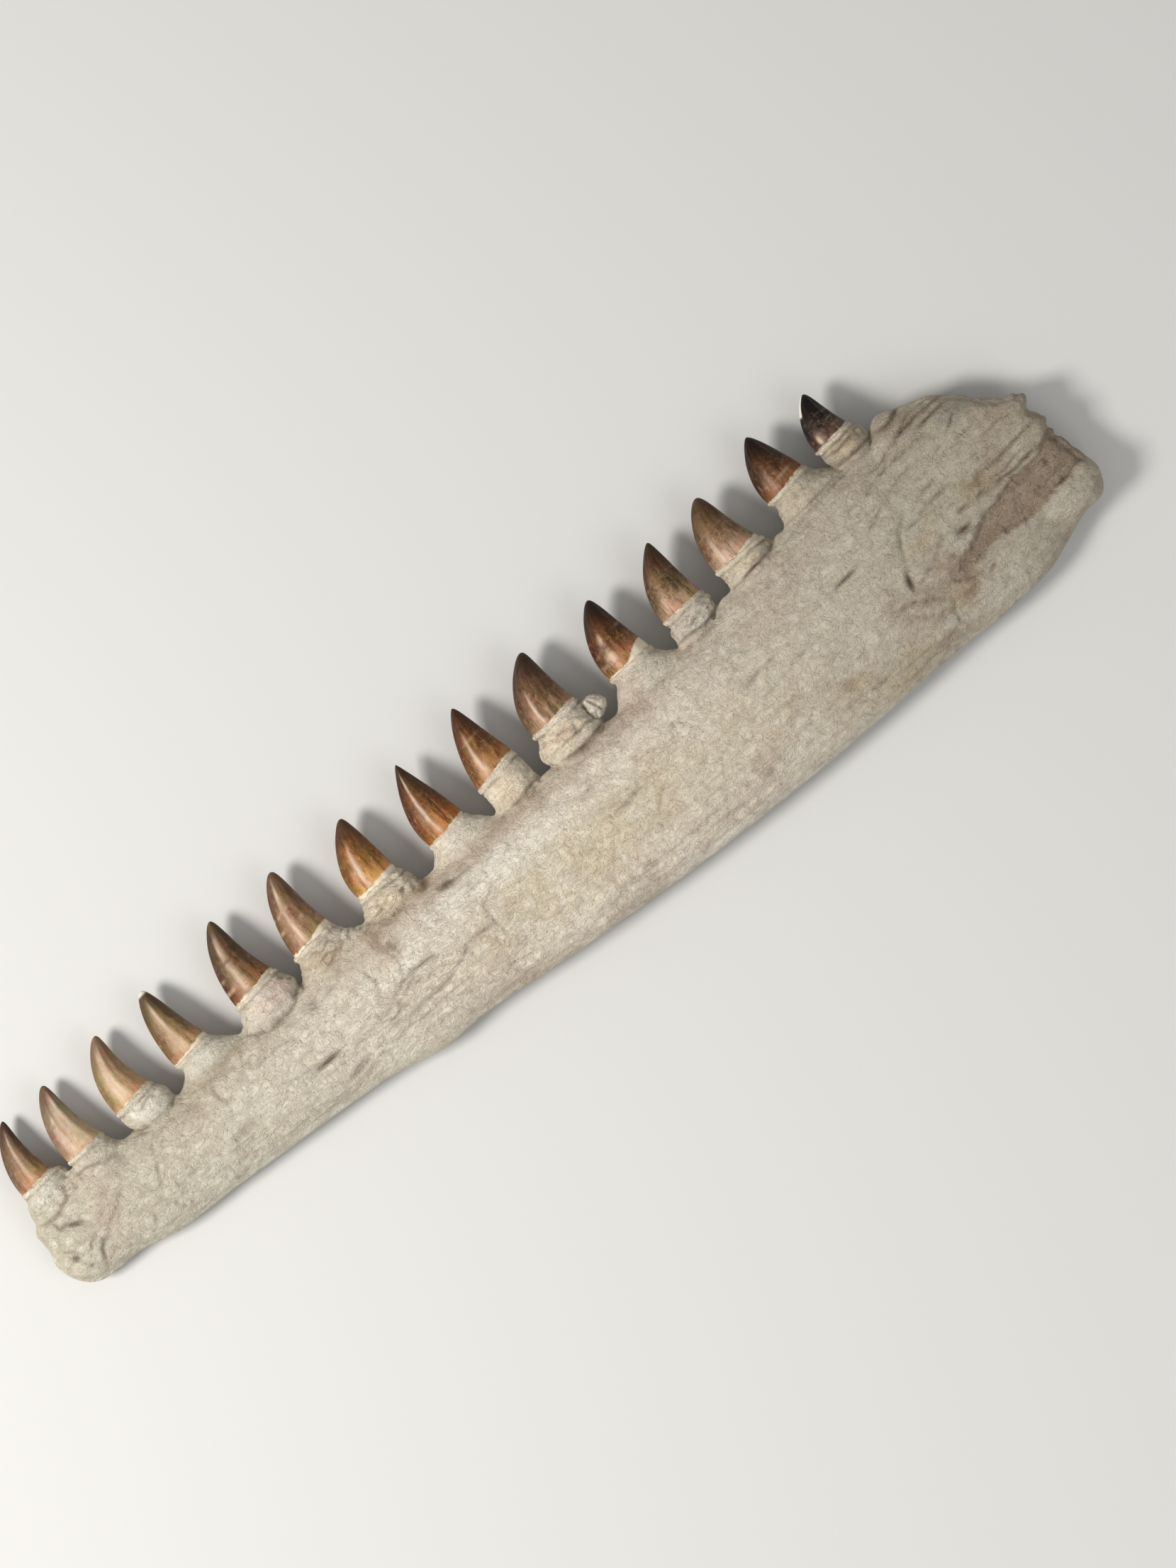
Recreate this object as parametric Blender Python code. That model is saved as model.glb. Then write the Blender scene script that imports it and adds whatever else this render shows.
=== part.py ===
"""A fossil mosasaur jaw: the left dentary with its fifteen teeth, the splenial, and rock between them.

The jaw lies on its inner side with its outer side up, as the bone rests on a floor. X runs along
the jaw from its front end to its broken rear end, Y across it towards the teeth, and Z up.
Sizes are millimetres. They become metres where a mesh is made, with the origin on the floor under
the middle of the jaw.
"""

import collections
import math

import bpy
import numpy as np

MM = 0.001

# Middle of the jaw's box in the measure that the outlines below use
MIDDLE_X = -21.5
MIDDLE_Y = 14.5

# Gap between pieces that touch
GAP = 0.3

# Outline of the bones seen from the outer side, each line as points from front to rear
LOWER_MARGIN = [
    (-320, -36.8), (-300, -36.2), (-284, -39.6), (-245, -41), (-200, -43), (-150, -46.2), (-122, -51),
    (-108, -50.2), (-50, -54.2), (8, -57.6), (90, -58.8), (140, -57.4), (187, -55), (220, -55), (250, -51),
    (262, -46.5),
]
UPPER_MARGIN = [
    (-330, 12), (-302, 16), (-272, 11.5), (-239, 12), (-197, 16.3), (-160, 16.5), (-121, 20.8), (-82, 20.5),
    (-36, 22), (0, 23), (36, 24), (81, 30), (115, 35.5), (155, 43.5), (197, 50), (215.5, 52), (219, 55.3),
    (226, 58), (234, 55.5), (243, 52.7), (252, 50), (262, 41.5),
]
REAR_END = [
    (262, -46.3), (276, -41), (288.5, -38.5), (293.7, -30), (291.5, -13), (288.5, -1), (288.5, 8), (286, 15),
    (287.5, 22), (275, 30), (264, 40.5),
]
FRONT_END = [(-322, 15), (-332, 8), (-335, 1), (-335, -8), (-336.7, -18), (-333, -28.5), (-326, -34.8)]

# Middle line of the bone, which all the height lines run to
SPINE = [(-312, -10), (-200, -14), (-60, -17), (40, -17), (130, -9), (200, -2), (250, 0)]
SPINE_FRONT = SPINE[0][0]
SPINE_REAR = SPINE[-1][0]

# Height of the outer face above the floor, and of the inner face, where under 0 becomes a flat
OUTER_FACE = [(-336, 20), (-310, 23), (-250, 26), (-150, 29), (0, 33), (120, 35), (220, 32), (293, 27)]
INNER_FACE = [
    (-336, -1.5), (-250, -1.5), (-190, 0.5), (-100, 2.5), (60, 2.5), (150, 0.8), (200, -1.5), (293, -1.5),
]

# Height of the rim as a share of the outer face's height
LOWER_RIM_SHARE = 0.40
UPPER_RIM_SHARE = 0.50

# How blunt each rim is: 2 is an ellipse
LOWER_BLUNT = 2.1
UPPER_BLUNT = 2.9
FRONT_BLUNT = 2.4
REAR_BLUNT = 5.0
INNER_BLUNT = 2.6

# Where the rim turns from the lower to the upper margin, and where the blunt ends begin
RIM_TURN = 15
REAR_FROM = 262
REAR_TO = 284
FRONT_FROM = -318
FRONT_TO = -332

# Ledge on the inner side below the teeth, and where it ends behind them
LEDGE_DEPTH = 3.0
LEDGE_FROM = 0.10
LEDGE_TO = 0.30
LEDGE_FADE = (205, 225)

# Groove on the inner side in front of the splenial
GROOVE_LINE = [(-312, -17), (-240, -26), (-160, -33), (-110, -38)]
GROOVE_DEPTH = 4.0
GROOVE_HALF = 5.0

# Splenial: its front tip, its upper edge on the inner side, and its thickness there
SPLENIAL_FRONT = -135
SPLENIAL_TOP = [(-135, -38), (-60, -28), (60, -22), (150, -16), (220, -10), (305, -7)]
SPLENIAL_THICK = [(-135, 3.5), (-60, 6), (60, 8), (150, 8.5), (305, 9)]
# Its lower edge from the jaw's lower margin, and its upper edge on the outer side
SPLENIAL_LOW = [(-135, 7), (80, 6), (112, 5), (148, -8), (305, -8)]
SPLENIAL_OUTER = [
    (-135, -75), (176, -68), (190, -55), (203, -43), (215, -29), (240, -25), (270, -23), (305, -15),
]
SPLENIAL_STATIONS = [-135, -128, -100, -60, 0, 60, 112, 148, 164, 170, 180, 190, 203, 215, 240, 270, 305]
THROUGH_FROM = 167
ABOVE_ALL = 45.0
BELOW_ALL = -5.0

# Rock between dentary and splenial at the rear, and how far it lies below the bone's face
ROCK_OUTLINE = [
    (204, -16), (225, -14), (240, -11), (260, -8), (275, -5), (305, 2), (305, -42), (216, -42), (206, -30),
]
ROCK_FLOOR = 8.0
ROCK_DROP = 2.5

# Teeth. x and base are the middle of the crown's base, width and tilt its length there and how
# much higher its rear end is, height and lean the way from there to the tip. bow is how far the
# middle of the crown bends towards the front, swell how much it is fuller at mid-height, and blunt
# how it narrows: 0.5 gives a round tip, 1 a sharp one. front and rear are points down the root.
Tooth = collections.namedtuple("Tooth", "x base width tilt height lean bow swell blunt front rear")
TEETH = [
    Tooth(-318.3, 20.2, 19.4, 1.5, 33.8, 4.0, 2.0, 0.00, 0.55,
          [(-328.4, 16.5), (-331.3, 10.5), (-330.3, 6.0)], [(-305.8, 20.2), (-303.2, 17.0), (-302.3, 13.0)]),
    Tooth(-290.0, 19.2, 21.4, 1.5, 36.2, 1.5, 2.3, 0.00, 0.50,
          [(-300.3, 16.0), (-300.6, 13.0), (-301.3, 9.0)], [(-278.2, 17.5), (-276.3, 14.0), (-273.0, 10.0)]),
    Tooth(-256.8, 23.2, 22.0, 3.0, 35.2, 2.8, 2.7, 0.00, 0.48,
          [(-267.8, 18.0), (-267.2, 13.0), (-264.0, 8.5)], [(-243.5, 22.0), (-240.3, 17.5), (-240.3, 11.0)]),
    Tooth(-220.6, 23.6, 21.8, 2.7, 37.9, -2.3, 2.2, 0.00, 0.50,
          [(-230.1, 18.5), (-232.5, 15.0), (-237.5, 11.0)], [(-205.5, 21.3), (-200.0, 17.3), (-194.0, 13.0)]),
    Tooth(-178.2, 28.2, 25.5, 3.5, 38.9, 2.0, 2.3, -0.02, 0.55,
          [(-191.4, 24.0), (-194.0, 19.0), (-197.0, 14.0)], [(-163.5, 25.0), (-159.6, 20.3), (-160.5, 15.0)]),
    Tooth(-142.1, 28.4, 24.2, 2.6, 39.0, 3.4, 1.4, 0.00, 0.48,
          [(-154.7, 24.0), (-157.5, 19.0), (-160.5, 14.0)], [(-128.3, 26.5), (-124.5, 23.0), (-117.0, 18.5)]),
    Tooth(-100.7, 29.8, 22.8, 0.8, 36.8, 4.3, 1.5, 0.20, 0.50,
          [(-113.2, 27.0), (-115.7, 23.0), (-118.0, 19.0)], [(-86.3, 27.0), (-85.3, 23.5), (-84.5, 19.0)]),
    Tooth(-58.7, 30.0, 22.4, 2.5, 40.3, -0.3, 2.1, 0.25, 0.70,
          [(-70.8, 26.0), (-73.5, 22.0), (-77.0, 18.5)], [(-45.0, 29.0), (-40.5, 25.0), (-35.0, 20.5)]),
    Tooth(-22.7, 37.8, 24.7, 4.5, 36.8, 1.7, 1.3, 0.05, 0.64,
          [(-34.4, 31.0), (-34.8, 26.0), (-36.0, 20.0)], [(-9.4, 34.0), (-8.8, 28.0), (-8.0, 21.5)]),
    Tooth(15.1, 40.0, 26.9, 2.0, 35.1, 5.9, 2.1, 0.11, 0.50,
          [(1.9, 36.0), (-2.5, 30.3), (-0.8, 22.5)], [(29.5, 36.0), (31.5, 30.0), (33.0, 22.0)]),
    Tooth(59.7, 38.2, 25.0, 2.0, 36.5, 2.3, 2.2, 0.12, 0.53,
          [(47.7, 35.0), (44.0, 29.0), (39.0, 22.5)], [(73.7, 36.0), (78.0, 32.5), (84.0, 28.0)]),
    Tooth(95.8, 43.6, 23.0, 1.0, 34.9, 6.0, 1.3, 0.16, 0.58,
          [(84.6, 39.5), (83.3, 35.0), (82.5, 29.0)], [(109.2, 40.5), (109.0, 36.5), (107.5, 31.5)]),
    Tooth(132.5, 46.5, 27.6, 1.0, 34.2, 0.7, 2.6, 0.02, 0.52,
          [(119.2, 43.0), (119.5, 39.0), (119.8, 34.0)], [(147.6, 44.5), (148.5, 42.5), (148.0, 37.0)]),
    Tooth(171.2, 58.5, 24.3, 4.0, 30.0, -0.8, 1.9, 0.13, 0.60,
          [(160.5, 53.5), (159.4, 49.0), (158.3, 43.0)], [(185.5, 57.0), (190.0, 54.0), (198.0, 49.0)]),
    Tooth(202.6, 62.6, 20.8, 2.5, 25.2, 1.7, 1.5, 0.04, 0.53,
          [(193.0, 58.5), (192.8, 55.5), (194.0, 50.0)], [(214.8, 61.5), (217.7, 57.0), (217.0, 50.5)]),
]
TOOTH_SIDES = 16
CROWN_RINGS = 8
CROWN_THICK = 0.84
TOOTH_LEVEL = 0.52
TIP_SINK = 3.5

# How much thicker than the crown's base the root is at its neck and at each point down its side,
# and, inside the bone, its depth under the last of them, its share of the length there and its spare
NECK_STEP = 0.5
ROOT_SPARES = [1.4, 1.6, 1.0]
ROOT_ANCHORS = [(6.5, 0.85, -1.0), (13.0, 0.55, -4.0)]

# New tooth that pushes out of the root behind the tenth tooth
NUB_X = 33.6
NUB_Y = 32.2
NUB_RADIUS = 6.2
NUB_STRETCH = 1.12

# Grid of the bone's mesh, and the angle from which an edge shows as sharp
SHARP_ANGLE = 40
STATIONS = 58
FRONT_SPOKES = 13
REAR_SPOKES = 18
OUTER_LEVELS = 6
INNER_LEVELS = 6


def clear_scene():
    for piece in list(bpy.data.objects):
        bpy.data.objects.remove(piece)


def smooth_step(value, low, high):
    share = np.clip((value - low) / (high - low), 0.0, 1.0)
    return share * share * (3 - 2 * share)


def through(points, at):
    """Read a smooth curve through a few points at the given places."""
    x, y = np.array(points, float).T
    slope = np.gradient(y, x)
    at = np.clip(at, x[0], x[-1])
    i = np.clip(np.searchsorted(x, at) - 1, 0, len(x) - 2)
    step = x[i + 1] - x[i]
    t = (at - x[i]) / step
    start = y[i] * (1 + 2 * t) + slope[i] * step * t
    end = y[i + 1] * (3 - 2 * t) + slope[i + 1] * step * (t - 1)
    return start * (1 - t) ** 2 + end * t**2


def along(points, count):
    """Points at even steps inside a smooth line from the first point to the last."""
    points = np.array(points, float)
    reach = np.concatenate([[0], np.cumsum(np.hypot(*np.diff(points, axis=0).T))])
    at = np.linspace(0, reach[-1], count + 2)[1:-1]
    return np.column_stack([through(np.column_stack([reach, points[:, i]]), at) for i in (0, 1)])


def rim_and_hubs():
    """Points once round the jaw's outline, and the number of the spine point that each faces."""
    x = np.linspace(SPINE_FRONT, SPINE_REAR, STATIONS)
    low = np.column_stack([x, through(LOWER_MARGIN, x)])
    high = np.column_stack([x, through(UPPER_MARGIN, x)])
    rear = along([low[-1], *REAR_END, high[-1]], REAR_SPOKES)
    front = along([high[0], *FRONT_END, low[0]], FRONT_SPOKES)
    forward = np.arange(STATIONS)
    hubs = [forward, np.full(REAR_SPOKES, STATIONS - 1), forward[::-1], np.full(FRONT_SPOKES, 0)]
    spine = np.column_stack([x, through(SPINE, x)])
    return np.concatenate([low, rear, high[::-1], front]), np.concatenate(hubs), spine


def rim_shape(rim, hub_points):
    """Height and bluntness of the rim at each of its points."""
    upper = smooth_step(rim[:, 1] - hub_points[:, 1], -RIM_TURN, RIM_TURN)
    height = through(OUTER_FACE, rim[:, 0]) * (LOWER_RIM_SHARE + (UPPER_RIM_SHARE - LOWER_RIM_SHARE) * upper)
    blunt = LOWER_BLUNT + (UPPER_BLUNT - LOWER_BLUNT) * upper
    rear = smooth_step(rim[:, 0], REAR_FROM, REAR_TO)
    front = smooth_step(rim[:, 0], FRONT_FROM, FRONT_TO)
    blunt = blunt + (REAR_BLUNT - blunt) * rear + (FRONT_BLUNT - blunt) * front
    return height, blunt, upper


def bulge(share, blunt):
    """Rise from 0 at the rim to 1 at the spine, with a round edge."""
    return (1 - (1 - share) ** blunt) ** (1 / blunt)


def outer_height(x, rim_height, blunt, share):
    return rim_height + (through(OUTER_FACE, x) - rim_height) * bulge(share, blunt)


def inner_height(x, y, rim_height, upper, share):
    face = through(INNER_FACE, x)
    height = rim_height - (rim_height - face) * bulge(share, INNER_BLUNT)
    toothed = 1 - smooth_step(x, *LEDGE_FADE)
    height = height + LEDGE_DEPTH * upper * toothed * (1 - smooth_step(share, LEDGE_FROM, LEDGE_TO))
    fade = 1 - smooth_step(x, GROOVE_LINE[-1][0], GROOVE_LINE[-1][0] + 10)
    off_line = (y - through(GROOVE_LINE, x)) / GROOVE_HALF
    height = height + GROOVE_DEPTH * fade * np.exp(-(off_line**2))
    return np.maximum(height, 0.0)


def level_shares(levels):
    """Shares of the way from rim to spine, closest together at the rim."""
    step = np.linspace(0, 1, levels + 1)[:-1] ** 1.15
    return 1 - np.cos(step * math.pi / 2)


def new_mesh_object(name, points, faces, materials=()):
    """Make an object from points in millimetres in the outlines' measure."""
    moved = (np.array(points, float) - (MIDDLE_X, MIDDLE_Y, 0)) * MM
    mesh = bpy.data.meshes.new(name)
    mesh.from_pydata(moved.tolist(), [], [tuple(map(int, face)) for face in faces])
    for material in materials:
        mesh.materials.append(material)
    mesh.shade_smooth()
    mesh.set_sharp_from_angle(angle=math.radians(SHARP_ANGLE))
    piece = bpy.data.objects.new(name, mesh)
    bpy.context.scene.collection.objects.link(piece)
    return piece


def face_grid(points, rim_count, hubs, spine_start, first_rows, flip):
    """Faces between neighbouring spokes of one side, from the rim's row to the spine."""
    faces = []
    levels = len(first_rows)
    for a in range(rim_count):
        b = (a + 1) % rim_count
        for k in range(levels - 1):
            here, inward = first_rows[k], first_rows[k + 1]
            faces.append([here + a, here + b, inward + b, inward + a])
        last = [first_rows[-1] + a, first_rows[-1] + b, spine_start + hubs[b], spine_start + hubs[a]]
        faces.append(last[:3] if hubs[a] == hubs[b] else last)
    return [face[::-1] for face in faces] if flip else faces


def jaw_blank(name, material, drop=0.0):
    """Both bones and the rock as one closed body, with its outer face lowered by the drop."""
    rim, hubs, spine = rim_and_hubs()
    hub_points = spine[hubs]
    rim_height, blunt, upper = rim_shape(rim, hub_points)
    count = len(rim)
    points = [np.column_stack([rim, rim_height])]
    rows = {"outer": [0], "inner": [0]}
    spines = {}
    for side, levels in (("outer", OUTER_LEVELS), ("inner", INNER_LEVELS)):
        for share in level_shares(levels)[1:]:
            flat = rim + (hub_points - rim) * share
            if side == "outer":
                height = outer_height(flat[:, 0], rim_height, blunt, share) - drop
            else:
                height = inner_height(*flat.T, rim_height, upper, share)
            rows[side].append(sum(map(len, points)))
            points.append(np.column_stack([flat, height]))
        spines[side] = sum(map(len, points))
        at_spine = through(OUTER_FACE, spine[:, 0]) - drop
        if side == "inner":
            at_spine = np.maximum(through(INNER_FACE, spine[:, 0]), 0.0)
        points.append(np.column_stack([spine, at_spine]))
    faces = face_grid(points, count, hubs, spines["outer"], rows["outer"], False)
    faces += face_grid(points, count, hubs, spines["inner"], rows["inner"], True)
    return new_mesh_object(name, np.concatenate(points), faces, [material])


def loft(name, rings, materials=(), pole=None):
    """Join rings of equally many points, with a flat cap at the start and a cap or a point at the end."""
    sides = len(rings[0])
    points = np.concatenate(rings)
    faces = [list(range(sides))[::-1]]
    for k in range(len(rings) - 1):
        for i in range(sides):
            j = (i + 1) % sides
            faces.append([k * sides + i, k * sides + j, (k + 1) * sides + j, (k + 1) * sides + i])
    last = (len(rings) - 1) * sides
    if pole is None:
        faces.append([last + i for i in range(sides)])
    else:
        points = np.vstack([points, pole])
        faces += [[last + i, last + (i + 1) % sides, len(points) - 1] for i in range(sides)]
    return new_mesh_object(name, points, faces, materials)


def splenial_bed(name, grow):
    """Room that the splenial takes, grown on all sides."""
    rings = []
    for x in SPLENIAL_STATIONS:
        low = float(through(LOWER_MARGIN, x) + through(SPLENIAL_LOW, x)) - grow
        top = float(through(SPLENIAL_TOP, x)) + grow
        thick = float(through(SPLENIAL_THICK, x)) + grow
        outer = max(float(through(SPLENIAL_OUTER, x)) + grow, low + 1.0)
        roof = ABOVE_ALL if x > THROUGH_FROM else thick + 1.0
        inner_side = [(low, BELOW_ALL), (top, BELOW_ALL), (top - 1.0, thick)]
        ring = [*inner_side, (outer + 0.5, thick + 0.5), (outer, roof), (low, roof)]
        at = x - grow if x == SPLENIAL_FRONT else x
        rings.append(np.array([(at, y, z) for y, z in ring]))
    return loft(name, rings)


def rock_bed(name, grow):
    """Room that the rock takes, grown on all sides but the roof."""
    outline = np.array(ROCK_OUTLINE, float)
    middle = outline.mean(axis=0)
    away = outline - middle
    outline = outline + grow * away / np.abs(away).max(axis=1, keepdims=True) * 1.4
    rings = [np.column_stack([outline, np.full(len(outline), z)]) for z in (ROCK_FLOOR - grow, ABOVE_ALL)]
    return loft(name, [ring[::-1] for ring in rings])


def crown_edges(tooth, share):
    """Front and rear edge of a crown at shares of its height."""
    mid_height = 4 * share * (1 - share)
    x = tooth.x + tooth.lean * share**2 - tooth.bow * mid_height
    centre = np.column_stack([x, tooth.base + tooth.height * share])
    fullness = (1 - share) ** tooth.blunt * (1 + tooth.swell * mid_height)
    half = fullness[:, None] * (tooth.width / 2, tooth.tilt / 2)
    return centre - half, centre + half


def tooth_ring(front, rear, middle_z, half_thick):
    """One ring through a front and a rear point, thick across the jaw."""
    turn = 2 * math.pi * np.arange(TOOTH_SIDES) / TOOTH_SIDES
    centre = (front + rear) / 2
    half = (rear - front) / 2
    flat = centre + np.cos(turn)[:, None] * half
    return np.column_stack([flat, middle_z + half_thick * np.sin(turn)])[::-1]


def tooth_height(x):
    """Height of a tooth's middle above the floor."""
    return float(through(OUTER_FACE, x)) * TOOTH_LEVEL


def root_rings(tooth, neck_front, neck_rear, middle_z):
    """Rings of the root from deep in the bone up to the neck of the crown."""
    thick = tooth.width / 2 * CROWN_THICK
    foot_front, foot_rear = np.array(tooth.front[-1]), np.array(tooth.rear[-1])
    rings = []
    for depth, shrink, spare in ROOT_ANCHORS[::-1]:
        middle = (foot_front + foot_rear) / 2 - (0, depth)
        half = (foot_rear - foot_front) / 2 * shrink
        rings.append(tooth_ring(middle - half, middle + half, middle_z, thick + spare))
    for front, rear, spare in list(zip(tooth.front, tooth.rear, ROOT_SPARES))[::-1]:
        rings.append(tooth_ring(np.array(front), np.array(rear), middle_z, thick + spare))
    step = np.array([NECK_STEP, 0])
    rings.append(tooth_ring(neck_front - step, neck_rear + step, middle_z, thick + NECK_STEP))
    return rings


def make_tooth(name, tooth, materials):
    """One tooth with its root, as a closed loft."""
    share = 1 - (1 - np.arange(CROWN_RINGS) / CROWN_RINGS) ** 2
    fronts, rears = crown_edges(tooth, share)
    middle_z = tooth_height(tooth.x)
    rings = root_rings(tooth, fronts[0], rears[0], middle_z)
    root_count = len(rings)
    for at, front, rear in zip(share, fronts, rears):
        thick = (rear[0] - front[0]) / 2 * CROWN_THICK
        rings.append(tooth_ring(front, rear, middle_z - TIP_SINK * at**2, thick))
    tip = [tooth.x + tooth.lean, tooth.base + tooth.height, middle_z - TIP_SINK]
    piece = loft(name, rings, materials, pole=tip)
    paint_crown(piece, root_count)
    return piece


def paint_crown(piece, root_count):
    """Give every face above the root the second material."""
    first_crown_point = root_count * TOOTH_SIDES
    for face in piece.data.polygons:
        face.material_index = int(min(face.vertices) >= first_crown_point)


def make_nub(name, material):
    """Bulb of the new tooth beside the tenth root."""
    middle_z = tooth_height(NUB_X)
    rings = []
    for share in (-0.85, -0.4, 0.1, 0.55, 0.85):
        half = NUB_RADIUS * math.sqrt(1 - share * share)
        centre = np.array([NUB_X, NUB_Y + NUB_RADIUS * NUB_STRETCH * share])
        rings.append(tooth_ring(centre - (half, 0), centre + (half, 0), middle_z, half * 1.1))
    return loft(name, rings, [material], pole=[NUB_X, NUB_Y + NUB_RADIUS * NUB_STRETCH, middle_z])


def settle(piece):
    """Replace a piece's mesh by what its modifiers make of it."""
    graph = bpy.context.evaluated_depsgraph_get()
    mesh = bpy.data.meshes.new_from_object(piece.evaluated_get(graph))
    piece.modifiers.clear()
    piece.data = mesh


def cut(piece, operation, tool):
    step = piece.modifiers.new(operation.lower(), "BOOLEAN")
    step.operation = operation
    step.object = tool
    settle(piece)


def join_all(piece, others):
    """Fuse closed meshes into a piece with one union, and remove them."""
    group = bpy.data.collections.new("joined")
    for other in others:
        group.objects.link(other)
    step = piece.modifiers.new("union", "BOOLEAN")
    step.operation = "UNION"
    step.operand_type = "COLLECTION"
    step.collection = group
    settle(piece)
    for other in others:
        bpy.data.objects.remove(other)
    bpy.data.collections.remove(group)


def keep_largest(piece):
    """Delete every loose surface of a mesh but the one with most points."""
    mesh = piece.data
    edges = np.array([edge.vertices for edge in mesh.edges])
    label = np.arange(len(mesh.vertices))
    while True:
        lowest = label.copy()
        np.minimum.at(lowest, edges[:, 0], label[edges[:, 1]])
        np.minimum.at(lowest, edges[:, 1], label[edges[:, 0]])
        lowest = lowest[lowest]
        if (lowest == label).all():
            break
        label = lowest
    kept = np.bincount(label).argmax()
    if (label == kept).all():
        return
    index = np.cumsum(label == kept) - 1
    points = [tuple(vertex.co) for vertex, mark in zip(mesh.vertices, label) if mark == kept]
    faces = [[index[v] for v in face.vertices] for face in mesh.polygons if label[face.vertices[0]] == kept]
    slots = [face.material_index for face in mesh.polygons if label[face.vertices[0]] == kept]
    clean = bpy.data.meshes.new(mesh.name)
    clean.from_pydata(points, [], faces)
    for material in mesh.materials:
        clean.materials.append(material)
    clean.polygons.foreach_set("material_index", slots)
    clean.shade_smooth()
    clean.set_sharp_from_angle(angle=math.radians(SHARP_ANGLE))
    piece.data = clean


def make_material(name, colour, roughness):
    material = bpy.data.materials.new(name)
    material.use_nodes = True
    shader = material.node_tree.nodes["Principled BSDF"]
    shader.inputs["Base Color"].default_value = (*colour, 1.0)
    shader.inputs["Roughness"].default_value = roughness
    shader.inputs["Metallic"].default_value = 0.0
    return material


def make_dentary(bone, enamel, splenial_room, rock_room):
    """Toothed bone, cut clear of the splenial and the rock, with its teeth fused on."""
    piece = jaw_blank("dentary", bone)
    piece.data.materials.append(enamel)
    cut(piece, "DIFFERENCE", splenial_room)
    cut(piece, "DIFFERENCE", rock_room)
    teeth = [make_tooth(f"tooth_{i + 1}", tooth, [bone, enamel]) for i, tooth in enumerate(TEETH)]
    join_all(piece, [*teeth, make_nub("nub", bone)])
    keep_largest(piece)
    return piece


def make_splenial(bone):
    piece = jaw_blank("splenial", bone)
    tool = splenial_bed("splenial_shape", 0.0)
    cut(piece, "INTERSECT", tool)
    bpy.data.objects.remove(tool)
    keep_largest(piece)
    return piece


def make_rock(rock, splenial_room):
    piece = jaw_blank("matrix", rock, drop=ROCK_DROP)
    tool = rock_bed("rock_shape", 0.0)
    cut(piece, "INTERSECT", tool)
    bpy.data.objects.remove(tool)
    cut(piece, "DIFFERENCE", splenial_room)
    keep_largest(piece)
    return piece


def gather(pieces, name):
    """Move the pieces into a collection named for the object."""
    group = bpy.data.collections.new(name)
    bpy.context.scene.collection.children.link(group)
    for piece in pieces:
        bpy.context.scene.collection.objects.unlink(piece)
        group.objects.link(piece)


def main():
    clear_scene()
    bone = make_material("fossil bone", (0.62, 0.53, 0.40), 0.75)
    enamel = make_material("fossil enamel", (0.25, 0.10, 0.04), 0.28)
    rock = make_material("brown rock", (0.21, 0.14, 0.09), 0.9)
    splenial_room = splenial_bed("splenial_room", GAP)
    rock_room = rock_bed("rock_room", GAP)
    pieces = [
        make_dentary(bone, enamel, splenial_room, rock_room),
        make_splenial(bone),
        make_rock(rock, splenial_room),
    ]
    for tool in (splenial_room, rock_room):
        bpy.data.objects.remove(tool)
    gather(pieces, "mosasaur_jaw")


main()
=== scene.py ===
import collections
import math

import bpy
import numpy as np
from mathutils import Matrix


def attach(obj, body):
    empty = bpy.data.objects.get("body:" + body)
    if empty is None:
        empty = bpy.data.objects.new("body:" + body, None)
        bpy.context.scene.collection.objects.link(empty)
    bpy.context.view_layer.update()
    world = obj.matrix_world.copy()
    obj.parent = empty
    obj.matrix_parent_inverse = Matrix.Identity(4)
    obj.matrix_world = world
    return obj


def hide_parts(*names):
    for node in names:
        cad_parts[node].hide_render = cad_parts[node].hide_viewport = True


# Looks of a fossil mosasaur jaw that lies on a pale floor with its outer side up. Lengths are
# millimetres in the measure of the jaw's outline, as in the part's source, and become metres where
# a mesh is made. X runs from the front end to the broken rear end, Y towards the teeth, Z up.

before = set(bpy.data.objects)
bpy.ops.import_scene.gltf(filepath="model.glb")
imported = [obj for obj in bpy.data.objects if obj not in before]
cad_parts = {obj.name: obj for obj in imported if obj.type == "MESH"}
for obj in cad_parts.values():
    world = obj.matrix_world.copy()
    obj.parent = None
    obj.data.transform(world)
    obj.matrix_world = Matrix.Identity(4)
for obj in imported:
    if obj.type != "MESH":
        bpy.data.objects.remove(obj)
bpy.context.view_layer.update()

MM = 0.001

# Middle of the jaw's box in the outline's measure, and the hair's breadth between its pieces
MIDDLE_X = -21.5
MIDDLE_Y = 14.5
SEAM = 0.03

# Outline of the bones, repeated from the part's source
LOWER_MARGIN = [
    (-320, -36.8), (-300, -36.2), (-284, -39.6), (-245, -41), (-200, -43), (-150, -46.2), (-122, -51),
    (-108, -50.2), (-50, -54.2), (8, -57.6), (90, -58.8), (140, -57.4), (187, -55), (220, -55), (250, -51),
    (262, -46.5),
]
UPPER_MARGIN = [
    (-330, 12), (-302, 16), (-272, 11.5), (-239, 12), (-197, 16.3), (-160, 16.5), (-121, 20.8), (-82, 20.5),
    (-36, 22), (0, 23), (36, 24), (81, 30), (115, 35.5), (155, 43.5), (197, 50), (215.5, 52), (219, 55.3),
    (226, 58), (234, 55.5), (243, 52.7), (252, 50), (262, 41.5),
]
REAR_END = [
    (262, -46.3), (276, -41), (288.5, -38.5), (293.7, -30), (291.5, -13), (288.5, -1), (288.5, 8), (286, 15),
    (287.5, 22), (275, 30), (264, 40.5),
]
FRONT_END = [(-322, 15), (-332, 8), (-335, 1), (-335, -8), (-336.7, -18), (-333, -28.5), (-326, -34.8)]
SPINE = [(-312, -10), (-200, -14), (-60, -17), (40, -17), (130, -9), (200, -2), (250, 0)]
SPINE_FRONT = SPINE[0][0]
SPINE_REAR = SPINE[-1][0]

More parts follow.
